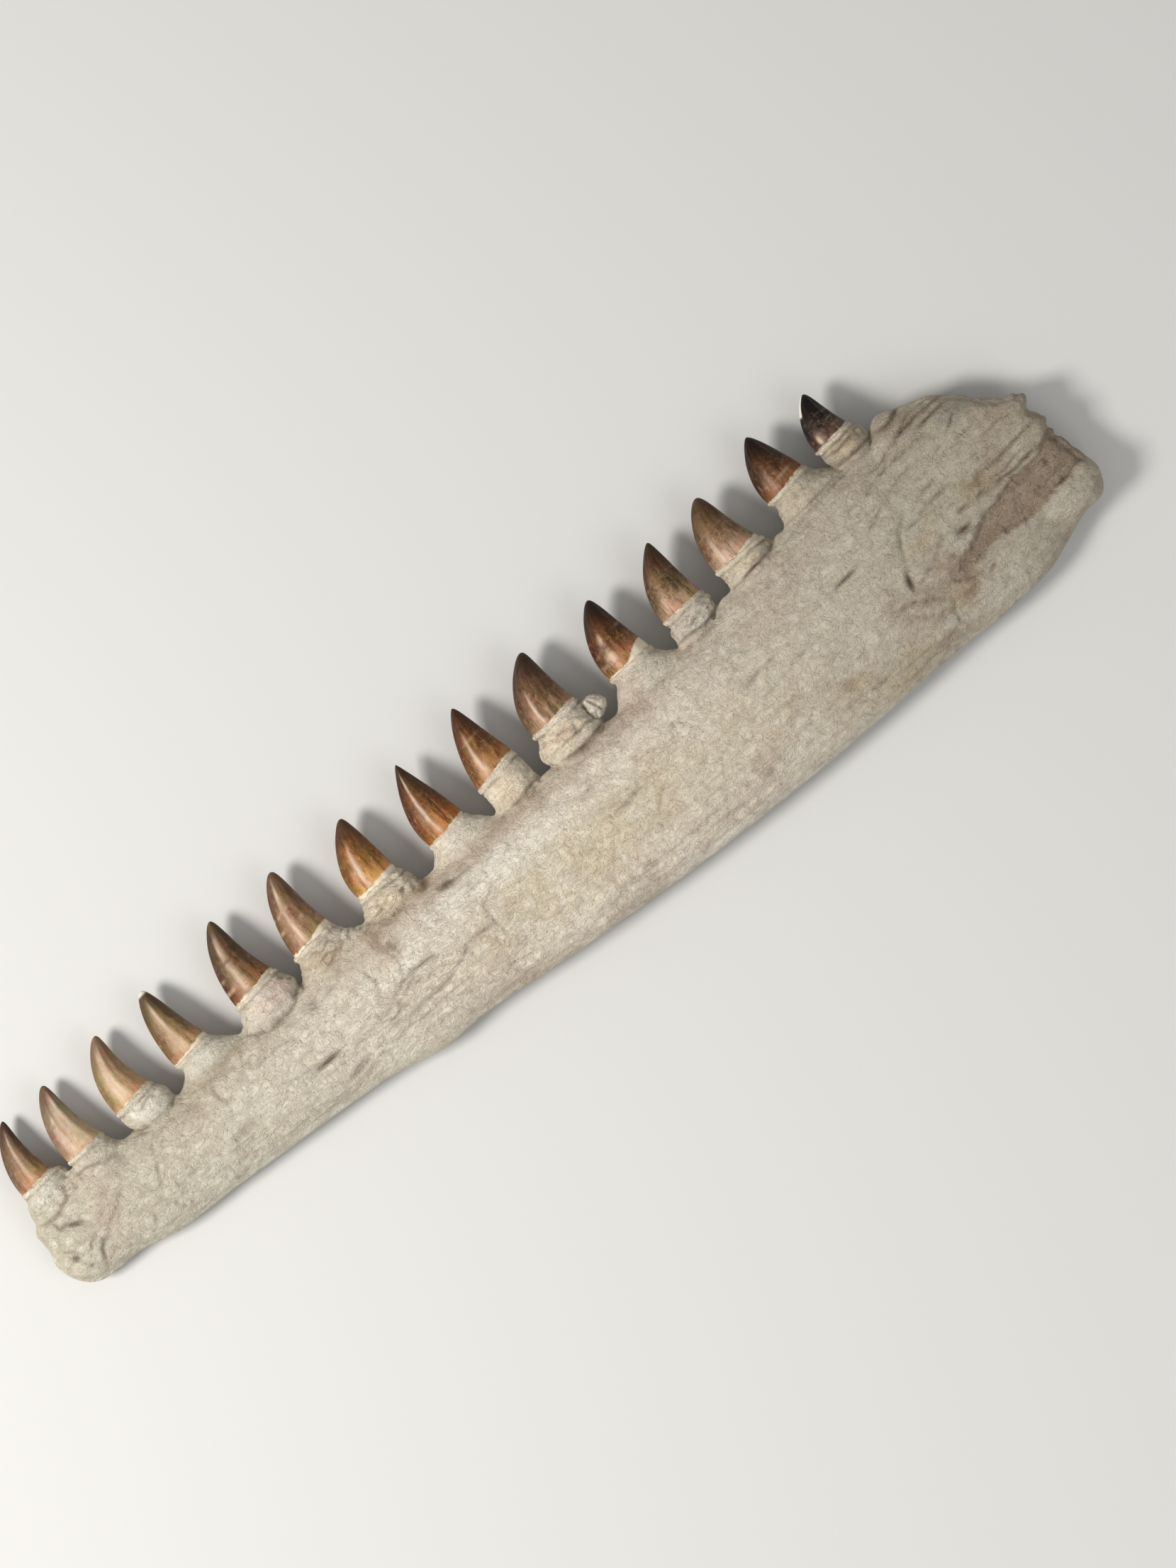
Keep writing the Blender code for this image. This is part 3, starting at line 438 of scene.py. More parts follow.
# Creases along the feet of the roots and across them, in the same form
ROOT_CREASES = [
    ((1.1, 1.2, 0.6), [[(-330.5, 3), (-324, 1.5), (-317, 2.9), (-310.5, 5), (-309.5, 11), (-311, 15)]]),
    ((1.0, 1.1, 0.6), [
        [(-300.7, 10.9), (-296, 11.7), (-291.8, 10.9), (-287.8, 9.6), (-286, 7.7), (-279, 8.4)],
    ]),
    ((1.0, 1.2, 0.7), [[(-266.5, 11), (-262, 8.2), (-257, 7.2), (-250, 8.3), (-243, 9.8), (-240, 11.5)]]),
    ((1.1, 1.3, 0.75), [
        [(-196.5, 14.5), (-191, 11), (-184, 9), (-176, 8.5), (-169, 9.8), (-163, 13), (-160.5, 16.5)],
    ]),
    ((0.9, 0.9, 0.5), [[(-116, 19.5), (-112, 16.6), (-106, 14), (-98, 15.5), (-92, 18)]]),
    ((1.0, 1.3, 0.8), [
        [(-36, 20), (-33, 19), (-26, 19), (-20, 20.4), (-13, 22.4), (-8, 23.8)],
        [(-1.5, 23.2), (3, 21.4), (12, 21), (22, 22), (30, 24), (35, 25.2)],
    ]),
    ((0.9, 1.2, 0.7), [[(0, 26.3), (6, 27), (14, 27.6), (25, 29), (33, 27.5)]]),
    ((1.0, 1.4, 0.9), [[(31, 39), (29.4, 35.5), (29.0, 31.5), (30.6, 28.5)]]),
    ((0.7, 0.4, 0.3), [[(41, 23), (50, 21.5), (62, 21), (73, 23), (81, 26.5)]]),
    ((1.0, 1.3, 0.8), [[(82, 30), (87, 31.2), (98, 30.8), (104, 32), (109, 34.2)]]),
    ((1.0, 1.2, 0.8), [[(119, 35.2), (127, 36), (135, 37.2), (143, 38.8), (149.5, 40.6)]]),
    ((0.8, 0.5, 0.45), [[(157, 43.2), (165, 43.4), (172, 44), (180, 45.4), (190, 46.6), (199, 47.8)]]),
    ((1.0, 1.2, 0.8), [[(193.5, 53), (196, 51), (202, 50), (209, 50.2), (217.5, 52.2)]]),
    ((0.8, 0.9, 0.6), [[(192.5, 57.4), (200, 56.4), (208, 57.6), (215, 59.5)]]),
    ((0.8, 0.7, 0.5), [[(-150, 22.5), (-146, 24), (-141, 21.5), (-136, 24.5), (-131, 20.5)]]),
    ((0.7, 0.6, 0.5), [[(-146, 18.5), (-140, 19.5), (-134, 18), (-128, 20)]]),
    ((0.7, 0.5, 0.4), [
        [(88, 36.5), (94, 35), (101, 37), (106, 35.5)],
        [(-109, 24), (-104, 21.5), (-98, 24), (-93, 21.5)],
    ]),
    ((0.7, 0.5, 0.35), [[(-262, 19), (-256, 17), (-249, 19.5), (-244, 16)]]),
]

# Patches of colour of each mask: middle, half length, half width, turn, strength
PATCHES = {
    "ochre": [
        (-10, -20, 80, 20, 2, 0.7), (70, -22, 60, 22, 4, 0.35), (204, 2, 14, 9, 40, 0.8),
        (241, 2, 12, 7, -10, 1.0), (196, 6, 5, 14, -35, 0.7), (165, -46, 38, 8, 2, 0.8),
        (206, -30, 9, 9, 0, 0.9), (276, 18, 8, 10, 0, 0.6), (-123, -3, 8, 10, 0, 0.4),
        (204, -36, 12, 8, 10, 1.0), (136, -36, 10, 5, -8, 1.0),
    ],
    "tan": [
        (-112, 5, 9, 12, -20, 1.0), (-84, 12, 12, 7, 0, 0.8), (-240, -6, 26, 12, 15, 0.4),
        (-300, 8, 26, 7, 10, 0.6), (-298, -8, 9, 18, -25, 0.8), (-158, 6, 12, 6, 0, 0.8),
        (-30, 15, 40, 5, 2, 0.8), (40, 17, 60, 6, 5, 0.6), (130, 22, 60, 10, 12, 0.6),
        (185, -30, 25, 12, 0, 0.6), (0, -53, 120, 5, -3, 0.6), (228, 50, 20, 6, -8, 0.9),
        (276, 22, 9, 8, 0, 0.8), (-75, 9, 70, 8, 3, 1.0),
    ],
    "slate": [
        (253, 37, 10, 4.5, 8, 0.8), (222, -11, 6, 4, -5, 0.6),
    ],
    "grey": [
        (-326, -6, 16, 26, 0, 0.8),
    ],
    "pale": [
        (-180, -15, 50, 18, 3, 0.3), (-60, 2, 60, 9, 0, 0.8), (-110, -8, 40, 8, 0, 0.6),
        (219, -15.5, 11, 2.6, 24, 1.0), (285, 18, 4, 6, 0, 0.8), (224, -44, 26, 9, 6, 1.0),
        (270, -32, 26, 7, 8, 0.9), (200, 10, 16, 11, 20, 0.9), (196, -47, 18, 7, 0, 0.9),
        # The next line starts with two thin pale bands just inside the lower edge: a painted highlight along
        # it
        (60, -56, 110, 2.2, -1, 0.8), (-200, -41, 60, 2.0, -3, 0.6), (-253, 15, 15, 8, 0, 0.7),
        (-178, 19, 17, 9, 0, 0.7), (-102, 21, 14, 7, 0, 0.9), (-22, 29, 13, 9, 0, 0.8),
        (14, 31, 18, 9, 0, 0.9), (96, 36, 13, 5, 0, 1.0), (133, 41, 15, 5, 3, 0.8),
        (168, 50, 10, 6, 3, 0.7), (205, 55, 12, 4, 5, 0.6), (-178, 14, 14, 5, 0, 1.0),
        (96, 32.5, 12, 3.4, 3, 1.0), (-319, 13, 9, 6, 0, 0.9), (-218, 17, 14, 6, 0, 0.6),
    ],
    "warm": [
        (-101, 21, 15, 8, 0, 1.0), (-22, 27, 13, 10, 0, 0.9), (-142, 20, 13, 7, 0, 0.7),
        (14, 30, 18, 9, 0, 0.8), (133, 42, 15, 6, 3, 0.8), (170, 50, 11, 7, 3, 0.6),
        (205, 56, 12, 6, 5, 1.0),
    ],
    "pink": [
        (-172, 20, 13, 7, 10, 0.8), (14, 32, 12, 4, 0, 0.4),
    ],
    "brown": [
        (209, -21, 6, 7, 10, 1.0), (190, -49, 16, 4, 4, 0.6), (-90, 11.5, 50, 4.5, 3, 0.2),
        (-215, 10, 32, 4, 2, 0.3), (-117, 9, 6, 9, 25, 0.75), (-113, 3, 4.5, 6, -10, 0.8),
        (-86, 16, 8, 4, 5, 0.8), (-64, 15, 14, 3, 4, 0.2), (-298, -10, 7, 15, -35, 0.35),
        (208, -31, 11, 8, 20, 1.0), (204, -17, 5, 4, 30, 0.7), (240, 3, 5, 3.5, 0, 0.5),
        (186, -46, 8, 2.4, 6, 0.6), (94, 27.2, 13, 1.8, 5, 0.7), (20, 21, 24, 1.8, 4, 0.6),
        (-22, 17.5, 18, 2.2, 4, 0.5), (-158, 18, 4, 5, 0, 0.6), (205, 56.2, 9, 1.6, 4, 0.5),
        (210, -34.5, 6, 4, 35, 1.0), (193, -27, 9, 4, -50, 0.45), (134, -35.5, 6, 3, -8, 0.45),
        (170, -50, 12, 2.4, 8, 0.5), (246, 2, 4, 5, 20, 0.5),
    ],
}

# Masks of the bone beside those of the patches
OTHER_MASKS = ("dark", "ring", "broken", "front", "rear", "rock", "dim", "wrinkled")

# Zones of wrinkles along the bone: middle, half length, half width, turn, depth, spacing
WRINKLES = [
    (-105, -20, 44, 16, 0, 0.5, 1.3),
    (-240, -36, 60, 5, -2, 0.2, 1.6),
    (40, -50, 120, 6, -1, 0.2, 1.4),
    (215, 36, 28, 9, 14, 0.5, 1.5),
    (250, 22, 26, 9, 4, 0.3, 1.4),
]

# Zones with layers along the bone: middle, half length, half width, turn, depth, length of a layer;
# then a layer's width and thickness, and their seed
LAYERED = [
    (170, -42, 44, 13, 2, 0.5, 13),
    (240, 42, 30, 9, -8, 0.7, 40),
    (258, 2, 34, 8, 6, 0.6, 26),
    (205, -20, 16, 14, 20, 0.7, 8),
]
LAYER_SIZE = (2.2, 20)
LAYER_SEED = 14

# Raised flakes of the outer face: middle, half length, half width, turn, height
RISES = [
    (-321, -21, 13, 12, -10, 0.5), (-319, 8, 11, 6, 5, 0.7), (-297, -2, 13, 7, 25, 0.4),
    (-259, -6, 9, 17, -30, 0.35), (-112, -20, 22, 6.5, 0, 0.45), (-84, 24, 4, 3.5, -30, 0.9),
    (-78, 14, 5, 3, 10, 0.5), (226, 55.5, 8, 2.4, 6, 0.7), (222, -17.5, 10, 2.2, 24, 0.9),
    (277, 5, 11, 3, 8, 0.6), (262, -33, 26, 9, 8, 0.4), (215, -38, 14, 8, 5, 0.4),
]

# Nicks in the edges all round, and crumbs on them where the depth is less than nothing
NICKS = [
    (-333, 5.5, 2.2, 1.5), (-309, 17.5, 2.0, 0.8), (-161.5, 17.5, 2.2, 1.2), (-82.5, 20.5, 2.0, 0.9),
    (268, 36.5, 2.5, 0.9), (278.5, 27.5, 2.2, 1.1), (283, 25.2, 1.6, -0.5), (286.5, 20.8, 1.8, -0.9),
    (285.6, 15.6, 1.8, 1.4), (283.0, 12.2, 1.6, 1.3), (287.8, 6.8, 2.0, -0.7), (288.4, 2.6, 1.6, 1.2),
    (288.6, -2.8, 1.7, 1.2), (290.5, -12, 2.2, 0.8), (292.8, -20, 3, 0.5),
]

# Soft noises that are added up: amount, size of the lumps along X, Y and Z, seed, and for a rough
# noise how many sizes it has. Those of the crowns and the new tooth get their seeds from them.
GRAIN_WANDER = [(1.2, (45, 22, 20), 3)]
FACE_LUMPS = [(0.4, (60, 28, 20), 5), (0.42, (20, 9, 20), 6)]
FACE_GRAIN = [(0.2, (26, 2.6, 20), 7), (0.14, (11, 1.6, 20), 8)]
FACE_FINE = [(0.32, (6.5, 4.2, 20), 9, 2), (0.14, (2.6, 2.2, 20), 10)]
WRINKLE_WANDER = [(5, (14, 7, 20), 12)]
EDGE_GRAIN = [(0.14, (14, 3, 3), 21, 3), (0.12, (5, 4, 4), 22, 3)]
BROKEN_GRAIN = [(1.1, (5, 4.5, 5), 23, 3), (0.6, (2.4, 2.2, 2.4), 26)]
ROCK_EDGE = [(1.3, (8, 4, 5), 41, 3), (0.5, (2.4, 2.0, 5), 43)]
ROOT_GRIT = [(0.6, (5, 4, 5), 51, 3)]
ROOT_WORMS = [(3, (4.2, 3.0, 4.2), 53)]
ROOT_HOLES = [(1, (2.8, 2.4, 2.8), 55)]
RING_WANDER = [(0.7, (7, 7, 7), 57), (0.4, (2.5, 2.5, 2.5), 58)]
RING_BREAKS = [(0.5, (6, 6, 6), 59)]
ROOT_GRAIN = [(0.22, (4, 3, 4), 61, 3)]
LINE_SHIFT_X = [(0.6, (7, 7, 7), 101), (0.35, (2.6, 2.6, 2.6), 102)]
LINE_SHIFT_Y = [(0.5, (7, 7, 7), 103), (0.35, (2.6, 2.6, 2.6), 104)]
LINE_BREAKS = [(0.35, (5, 5, 5), 105)]
ENAMEL_WANDER = (0.05, (20, 12, 20))
ENAMEL_LUMPS = (1, (8, 14, 8))
CRACK_WANDER = (0.04, (6, 6, 6))
CRACK_BREAKS = (1, (9, 9, 9))
STREAK_WIDTHS = (0.35, (9, 9, 9))
STREAK_BREAKS = (0.35, (3, 5, 3))
NUB_LUMPS = (0.9, (4, 4, 4))

# What a rough noise is divided by, and the numbers that scramble a grid point and a seed
ROUGH_RANGE = 1.6
SCRAMBLE = (73856093, 19349663, 83492791)
SEED_SCRAMBLE = 265443576
LAST_SCRAMBLE = 1274126177

# How fast a form fades from the middle of its oval: rate and power; how wide a crack's dark is, as a
# share of the crack, how strong cracks are and how weak at their ends; and the edge of a raised flake
HOLLOW_SHAPE = (1.1, 1.3)
HOLLOW_SHADE = (1.35, 1.4)
PATCH_FADE = (1.2, 1.5)
CRACK_SHADE = 0.9
LINE_SHOWS = 0.95
LINE_END = 0.05
SPOT_FADE = (1.0, 1.5)
ZONE_FADE = (1.0, 1.0)
RISE_EDGE = (-1.3, -0.7)

# How much a surface has to face up, as the height of its normal: to carry the outer face's relief, to
# lose the edges' relief, and to take all the paint; and the share of a stain that goes round the edge
FACING_UP = (0.05, 0.45)
FACING_OUT = (0.75, 0.97)
PAINTED_UP = (0.0, 0.5)
STAIN_BELOW = 0.35

# Broken rear end: where its rough surface starts along X and Y, how far it is sunk, where it turns
# brown along X and between which Y, and the share of that on its top
BROKEN_FROM = ((255, 280), (-8, 0))
BROKEN_SUNK = 0.6
BROKEN_BROWN = ((279, 288), (-6, 2), (24, 34))
BROKEN_ON_TOP = 0.7

# Ring and crease under a crown: depth below it and half width, how much of the crease a blended root
# loses, and how strongly both show
RING_PLACE = (0.8, 0.9)
CREASE_PLACE = (2.5, 0.6)
CREASE_LOST = 0.6
MARK_SHOWS = 0.65

# Lumps and pits of the roots: share of crooked ridges in the lumps, the noise that becomes a pit,
# and how far below the crown the pits start
WORM_SHARE = 0.45
HOLE_SHOWS = (0.4, 0.8)
HOLE_DEPTH = (2, 4)

# How much each mark of the roots lifts the surface, and how dark the two deep ones are: painted shade and
# dirt in them
MARK_LIFT = {"lumps": 1.15, "ring": 0.35, "crease": -0.6, "pits": -0.6}
CREASE_DARK = 0.55
PIT_DARK = 0.45

# Share of the root creases' depth that is cut again after the blending, and where the grain of the
# bone's toothed edge starts, from that edge
ROOT_CREASE_SHARE = 0.6
TOOTHED_EDGE = (-10, -4)

# Reach of a root's marks: how far points are looked at, as a share of the crown's length, how softly
# the marks end at its sides, and where they end at its foot
ROOT_SPREAD = 1.4
ROOT_SOFT = 2.0
ROOT_FOOT = (-2, 1)

# Blending of the roots into the bone: steps, pull of each, and the least share of it; then its reach
# as a share of the crown's length, beside the root's sides, at its foot and below the crown
BLEND_STEPS = 22
BLEND_PULL = 0.6
BLEND_LEAST = 0.12
BLEND_SPREAD = 1.6
BLEND_SIDES = (6, 2)
BLEND_FOOT = (-7, -2)
BLEND_NECK = (2.5, 5.0)

# Where the bone turns to the greenish tone of its front and to the darker tone of its rear, which is partly
# painted shade, the oval of its crinkled skin, and the darker bands along its edges, the lower one painted
# shade where the bone turns away from the light: edge, how far above it, half width, where the band comes
# and goes along the bone, and strength
FRONT_TONE = (60, 260)
REAR_TONE_AND_SHADE = (-20, 260)
CRINKLED = (-100, -22, 60, 24, 2)
DIM_BANDS = [
    (UPPER_MARGIN, -6, 6.5, (-290, -250), (0, 110), 1.0),
    (LOWER_MARGIN, 2, 6, (-150, -110), (-10, 40), 0.8),
]

# Camera above the jaw, with the photo's turn in degrees and its field in millimetres
PHOTO_TURN = 38.5
VIEW_X = 7.8
VIEW_Y = 5.6
VIEW_TALL = 752.0
VIEW_PLANE = 16.0
CAMERA_UP = 2200.0
SENSOR = 36.0
CLIP_END = 50

# Lamps: name, place, length, width, power, colour; then the even light of the room
LAMPS = [
    ("key", (-1.35, 0.35, 1.35), 0.6, 0.5, 36, (1.0, 0.975, 0.93)),
    ("fill", (0.5, -1.4, 1.3), 1.4, 1.0, 9, (0.97, 0.98, 1.0)),
]
ROOM_COLOUR = (1.0, 0.99, 0.97)
ROOM_POWER = 0.42

# Floor, in metres
FLOOR_SIZE = 8.0
FLOOR_DROP = 0.0001
FLOOR_FINISH = {"Base Color": (0.64, 0.637, 0.625), "Roughness": 0.85, "Specular IOR Level": 0.2}

# Seeds of the crowns, with the step from one crown to the next, and of the new tooth
CROWN_SEED = 500
SEED_STEP = 20
NUB_SEED = 900


def smooth_step(value, low, high):
    share = np.clip((value - low) / (high - low), 0.0, 1.0)
    return share * share * (3 - 2 * share)


def through(points, at):
    """Read a smooth curve through a few points at the given places."""
    x, y = np.array(points, float).T
    slope = np.gradient(y, x)
    at = np.clip(at, x[0], x[-1])
    i = np.clip(np.searchsorted(x, at) - 1, 0, len(x) - 2)
    step = x[i + 1] - x[i]
    t = (at - x[i]) / step
    start = y[i] * (1 + 2 * t) + slope[i] * step * t
    end = y[i + 1] * (3 - 2 * t) + slope[i + 1] * step * (t - 1)
    return start * (1 - t) ** 2 + end * t**2


def on_line(points, shares):
    """Points of a smooth line at shares of its length."""
    points = np.array(points, float)
    reach = np.concatenate([[0], np.cumsum(np.hypot(*np.diff(points, axis=0).T))])
    at = np.asarray(shares) * reach[-1]
    return np.column_stack([through(np.column_stack([reach, points[:, i]]), at) for i in (0, 1)])


def along(points, count):
    """Points at even steps inside a smooth line from the first point to the last."""
    return on_line(points, np.linspace(0, 1, count + 2)[1:-1])


def lattice(cell, seed):
    """Repeatable random numbers from -1 to 1 at whole grid points."""
    along_x, along_y, along_z = (cell * SCRAMBLE).T
    mixed = along_x ^ along_y ^ along_z ^ (seed * SEED_SCRAMBLE)
    mixed = ((mixed ^ (mixed >> 13)) * LAST_SCRAMBLE) & 0x7FFFFFFF
    return ((mixed ^ (mixed >> 15)) & 0xFFFF) / 32767.5 - 1


def noise(points, size, seed):
    """Soft noise from -1 to 1 at points, with lumps of the given size along X, Y and Z."""
    scaled = np.asarray(points, float) / np.array(size, float)
    cell = np.floor(scaled).astype(np.int64)
    t = scaled - cell
    t = t * t * (3 - 2 * t)
    total = np.zeros(len(scaled))
    for corner in range(8):
        step = np.array([corner & 1, corner >> 1 & 1, corner >> 2])
        weight = np.prod(np.where(step, t, 1 - t), axis=1)
        total += weight * lattice(cell + step, seed)
    return total


def rough(points, size, seed, octaves=3):
    """Noise with finer and weaker noise added to it."""
    size = np.array(size, float)
    total = sum(noise(points, size / 2**k, seed + k) / 2**k for k in range(octaves))
    return total / ROUGH_RANGE


def line_distance(x, y, line):
    """Distance from points to a line of straight pieces, and the share of the way along it."""
    line = np.array(line, float)
    lengths = np.hypot(*np.diff(line, axis=0).T)
    starts = np.concatenate([[0], np.cumsum(lengths)])
    best = np.full(len(x), np.inf)
    place = np.zeros(len(x))
    for (ax, ay), (bx, by), length, start in zip(line[:-1], line[1:], lengths, starts):
        t = np.clip(((x - ax) * (bx - ax) + (y - ay) * (by - ay)) / length**2, 0, 1)
        gap = np.hypot(x - ax - t * (bx - ax), y - ay - t * (by - ay))
        near = gap < best
        best[near] = gap[near]
        place[near] = (start + t[near] * length) / starts[-1]
    return best, place


def line_mark(x, y, line, width):
    """1 on a crack's line, falling to 0 beside it and towards its ends."""
    gap, place = line_distance(x, y, line)
    ends = np.sqrt(np.clip(4 * place * (1 - place), LINE_END, 1))
    return ends * np.exp(-((gap / width) ** 2))


def noises(points, rows):
    """Sum of the noises in some rows: amount, size of the lumps, seed, and sizes of a rough one."""
    total = 0.0
    for amount, size, seed, *steps in rows:
        total = total + amount * (rough(points, size, seed, *steps) if steps else noise(points, size, seed))
    return total


def flat_points(x, y):
    return np.column_stack([x, y, np.zeros_like(x)])


def wandering(x, y):
    """Points seen from above, shifted a little so that lines look ragged, and the lines' strength."""
    flat = flat_points(x, y)
    strength = LINE_SHOWS + noises(flat, LINE_BREAKS)
    return x + noises(flat, LINE_SHIFT_X), y + noises(flat, LINE_SHIFT_Y), strength


def lines_of(*tables):
    """Every line of some tables of cracks, with its width, depth and darkness."""
    return [(*style, line) for table in tables for style, lines in table for line in lines]


def fading(reach, rate, power):
    """1 in the middle of an oval, falling to 0 outside it."""
    return np.exp(-rate * reach**power)


def oval(x, y, middle_x, middle_y, long, wide, turn):
    """Squared distance from a turned oval's middle, 1 at its edge."""
    cos, sin = math.cos(math.radians(turn)), math.sin(math.radians(turn))
    off_x, off_y = x - middle_x, y - middle_y
    return ((off_x * cos + off_y * sin) / long) ** 2 + ((off_y * cos - off_x * sin) / wide) ** 2


def rim_and_hubs():
    """Points once round the jaw's outline, and the number of the spine point that each faces."""
    x = np.linspace(SPINE_FRONT, SPINE_REAR, STATIONS)
    low = np.column_stack([x, through(LOWER_MARGIN, x)])
    high = np.column_stack([x, through(UPPER_MARGIN, x)])
    rear = along([low[-1], *REAR_END, high[-1]], REAR_SPOKES)
    front = along([high[0], *FRONT_END, low[0]], FRONT_SPOKES)
    forward = np.arange(STATIONS)
    hubs = [forward, np.full(REAR_SPOKES, STATIONS - 1), forward[::-1], np.full(FRONT_SPOKES, 0)]
    spine = np.column_stack([x, through(SPINE, x)])
    return np.concatenate([low, rear, high[::-1], front]), np.concatenate(hubs), spine


def rim_shape(rim, hub_points):
    """Height and bluntness of the rim at each of its points."""
    upper = smooth_step(rim[:, 1] - hub_points[:, 1], -RIM_TURN, RIM_TURN)
    height = through(OUTER_FACE, rim[:, 0]) * (LOWER_RIM_SHARE + (UPPER_RIM_SHARE - LOWER_RIM_SHARE) * upper)
    blunt = LOWER_BLUNT + (UPPER_BLUNT - LOWER_BLUNT) * upper
    rear = smooth_step(rim[:, 0], REAR_FROM, REAR_TO)
    front = smooth_step(rim[:, 0], FRONT_FROM, FRONT_TO)
    blunt = blunt + (REAR_BLUNT - blunt) * rear + (FRONT_BLUNT - blunt) * front
    return height, blunt, upper


def bulge(share, blunt):
    """Rise from 0 at the rim to 1 at the spine, with a round edge."""
    return (1 - (1 - share) ** blunt) ** (1 / blunt)


def outer_height(x, rim_height, blunt, share):
    return rim_height + (through(OUTER_FACE, x) - rim_height) * bulge(share, blunt)


def inner_height(x, y, rim_height, upper, share):
    face = through(INNER_FACE, x)
    height = rim_height - (rim_height - face) * bulge(share, INNER_BLUNT)
    toothed = 1 - smooth_step(x, *LEDGE_FADE)
    height = height + LEDGE_DEPTH * upper * toothed * (1 - smooth_step(share, LEDGE_FROM, LEDGE_TO))
    fade = 1 - smooth_step(x, GROOVE_LINE[-1][0], GROOVE_LINE[-1][0] + GROOVE_FADE)
    off_line = (y - through(GROOVE_LINE, x)) / GROOVE_HALF
    return height + GROOVE_DEPTH * fade * np.exp(-(off_line**2))


def level_shares(levels):
    """Shares of the way from rim to spine, closer together at the rim."""
    step = np.linspace(0, 1, levels + 1)[:-1]
    return LEVEL_BLEND * (1 - np.cos(step * math.pi / 2)) + (1 - LEVEL_BLEND) * step**LEVEL_POWER


def new_piece(name, points, faces):
    """Make an object from points in millimetres in the outline's measure."""
    moved = (np.asarray(points, float) - (MIDDLE_X, MIDDLE_Y, 0)) * MM
    mesh = bpy.data.meshes.new(name)
    mesh.from_pydata(moved.tolist(), [], faces)
    mesh.shade_smooth()
    piece = bpy.data.objects.new(name, mesh)
    bpy.context.scene.collection.objects.link(piece)
    return piece


def points_of(piece):
    """The piece's points in millimetres in the outline's measure."""
    flat = np.empty(len(piece.data.vertices) * 3, np.float32)
    piece.data.vertices.foreach_get("co", flat)
    return flat.reshape(-1, 3).astype(float) / MM + (MIDDLE_X, MIDDLE_Y, 0)


def normals_of(piece):
    flat = np.empty(len(piece.data.vertices) * 3, np.float32)
    piece.data.vertex_normals.foreach_get("vector", flat)
    return flat.reshape(-1, 3).astype(float)


def edges_of(piece):
    ends = np.empty(len(piece.data.edges) * 2, np.int32)
    piece.data.edges.foreach_get("vertices", ends)
    return ends.reshape(-1, 2)


def move_points(piece, points):
    moved = (points - (MIDDLE_X, MIDDLE_Y, 0)) * MM
    piece.data.vertices.foreach_set("co", moved.astype(np.float32).ravel())
    piece.data.update()


def face_grid(rows, hub_row, same_hub, flip):
    """Faces between neighbouring spokes of one side, from the rim's row to the spine."""
    rows = np.vstack([rows, hub_row])
    ahead = np.roll(rows, -1, axis=1)
    quads = np.stack([rows[:-1], ahead[:-1], ahead[1:], rows[1:]], axis=-1)
    order = slice(None, None, -1) if flip else slice(None)
    faces = quads[:-1].reshape(-1, 4)[:, order].tolist()
    for face, point in zip(quads[-1], same_hub):
        last = face[:3] if point else face
        faces.append(last[order].tolist())
    return faces


def jaw_blank(name):
    """Both bones and the rock as one closed body, before its surface gets its relief."""
    rim, hubs, spine = rim_and_hubs()
    hub_points = spine[hubs]
    rim_height, blunt, upper = rim_shape(rim, hub_points)
    points = [np.column_stack([rim, rim_height])]
    total = len(rim)
    faces = []
    same_hub = hubs == np.roll(hubs, -1)
    for outer, levels in ((True, OUTER_LEVELS), (False, INNER_LEVELS)):
        rows = [np.arange(len(rim))]
        for share in level_shares(levels)[1:]:
            flat = rim + (hub_points - rim) * share
            if outer:
                height = outer_height(flat[:, 0], rim_height, blunt, share)
            else:
                height = inner_height(*flat.T, rim_height, upper, share)
            points.append(np.column_stack([flat, height]))
            rows.append(np.arange(total, total + len(rim)))
            total += len(rim)
        at_spine = through(OUTER_FACE if outer else INNER_FACE, spine[:, 0])
        points.append(np.column_stack([spine, at_spine]))
        faces += face_grid(np.array(rows), total + hubs, same_hub, not outer)
        total += len(spine)
    return new_piece(name, np.concatenate(points), faces)


def rock_share(x, y):
    """1 inside the band of rock on the outer face, falling to 0 a little outside its ragged edge."""
    inside = np.minimum(through(ROCK_TOP, x) - y, y - through(ROCK_LOW, x))
    inside = np.minimum(inside, (x - ROCK_TOP[0][0]) * ROCK_TAPER)
    return smooth_step(inside + noises(flat_points(x, y), ROCK_EDGE), *ROCK_BLEND)


def face_relief(points):
    """Height added to the outer face."""
    x, y = points[:, 0], points[:, 1]
    spread = flat_points(x, y)
    grain_y = y - through(SPINE, x) + noises(spread, GRAIN_WANDER)
    grain = flat_points(x, grain_y)
    lift = noises(spread, FACE_LUMPS)
    lift += noises(grain, FACE_GRAIN)
    lift += noises(spread, FACE_FINE)
    for middle_x, middle_y, long, wide, deep, turn, _ in HOLLOWS:
        lift -= deep * fading(oval(x, y, middle_x, middle_y, long, wide, turn), *HOLLOW_SHAPE)
    near_x, near_y, strength = wandering(x, y)
    for width, depth, _, line in lines_of(CRACKS, ROOT_CREASES):
        lift -= depth * strength * line_mark(near_x, near_y, line, width)
    for *place, deep, spacing in WRINKLES:
        wave = np.sin(grain_y * spacing + noises(spread, WRINKLE_WANDER))
        lift += fading(oval(x, y, *place), *ZONE_FADE) * deep * wave
    for *place, deep, length in LAYERED:
        zone = fading(oval(x, y, *place), *ZONE_FADE)
        lift += zone * deep * noise(grain, (length, *LAYER_SIZE), LAYER_SEED)
    for *place, high in RISES:
        lift += high * smooth_step(-oval(x, y, *place), *RISE_EDGE)
    drop = ROCK_DROP * (ROCK_FRONT_DROP + (1 - ROCK_FRONT_DROP) * smooth_step(x, *ROCK_DEEPENS))
    return lift - drop * rock_share(x, y)


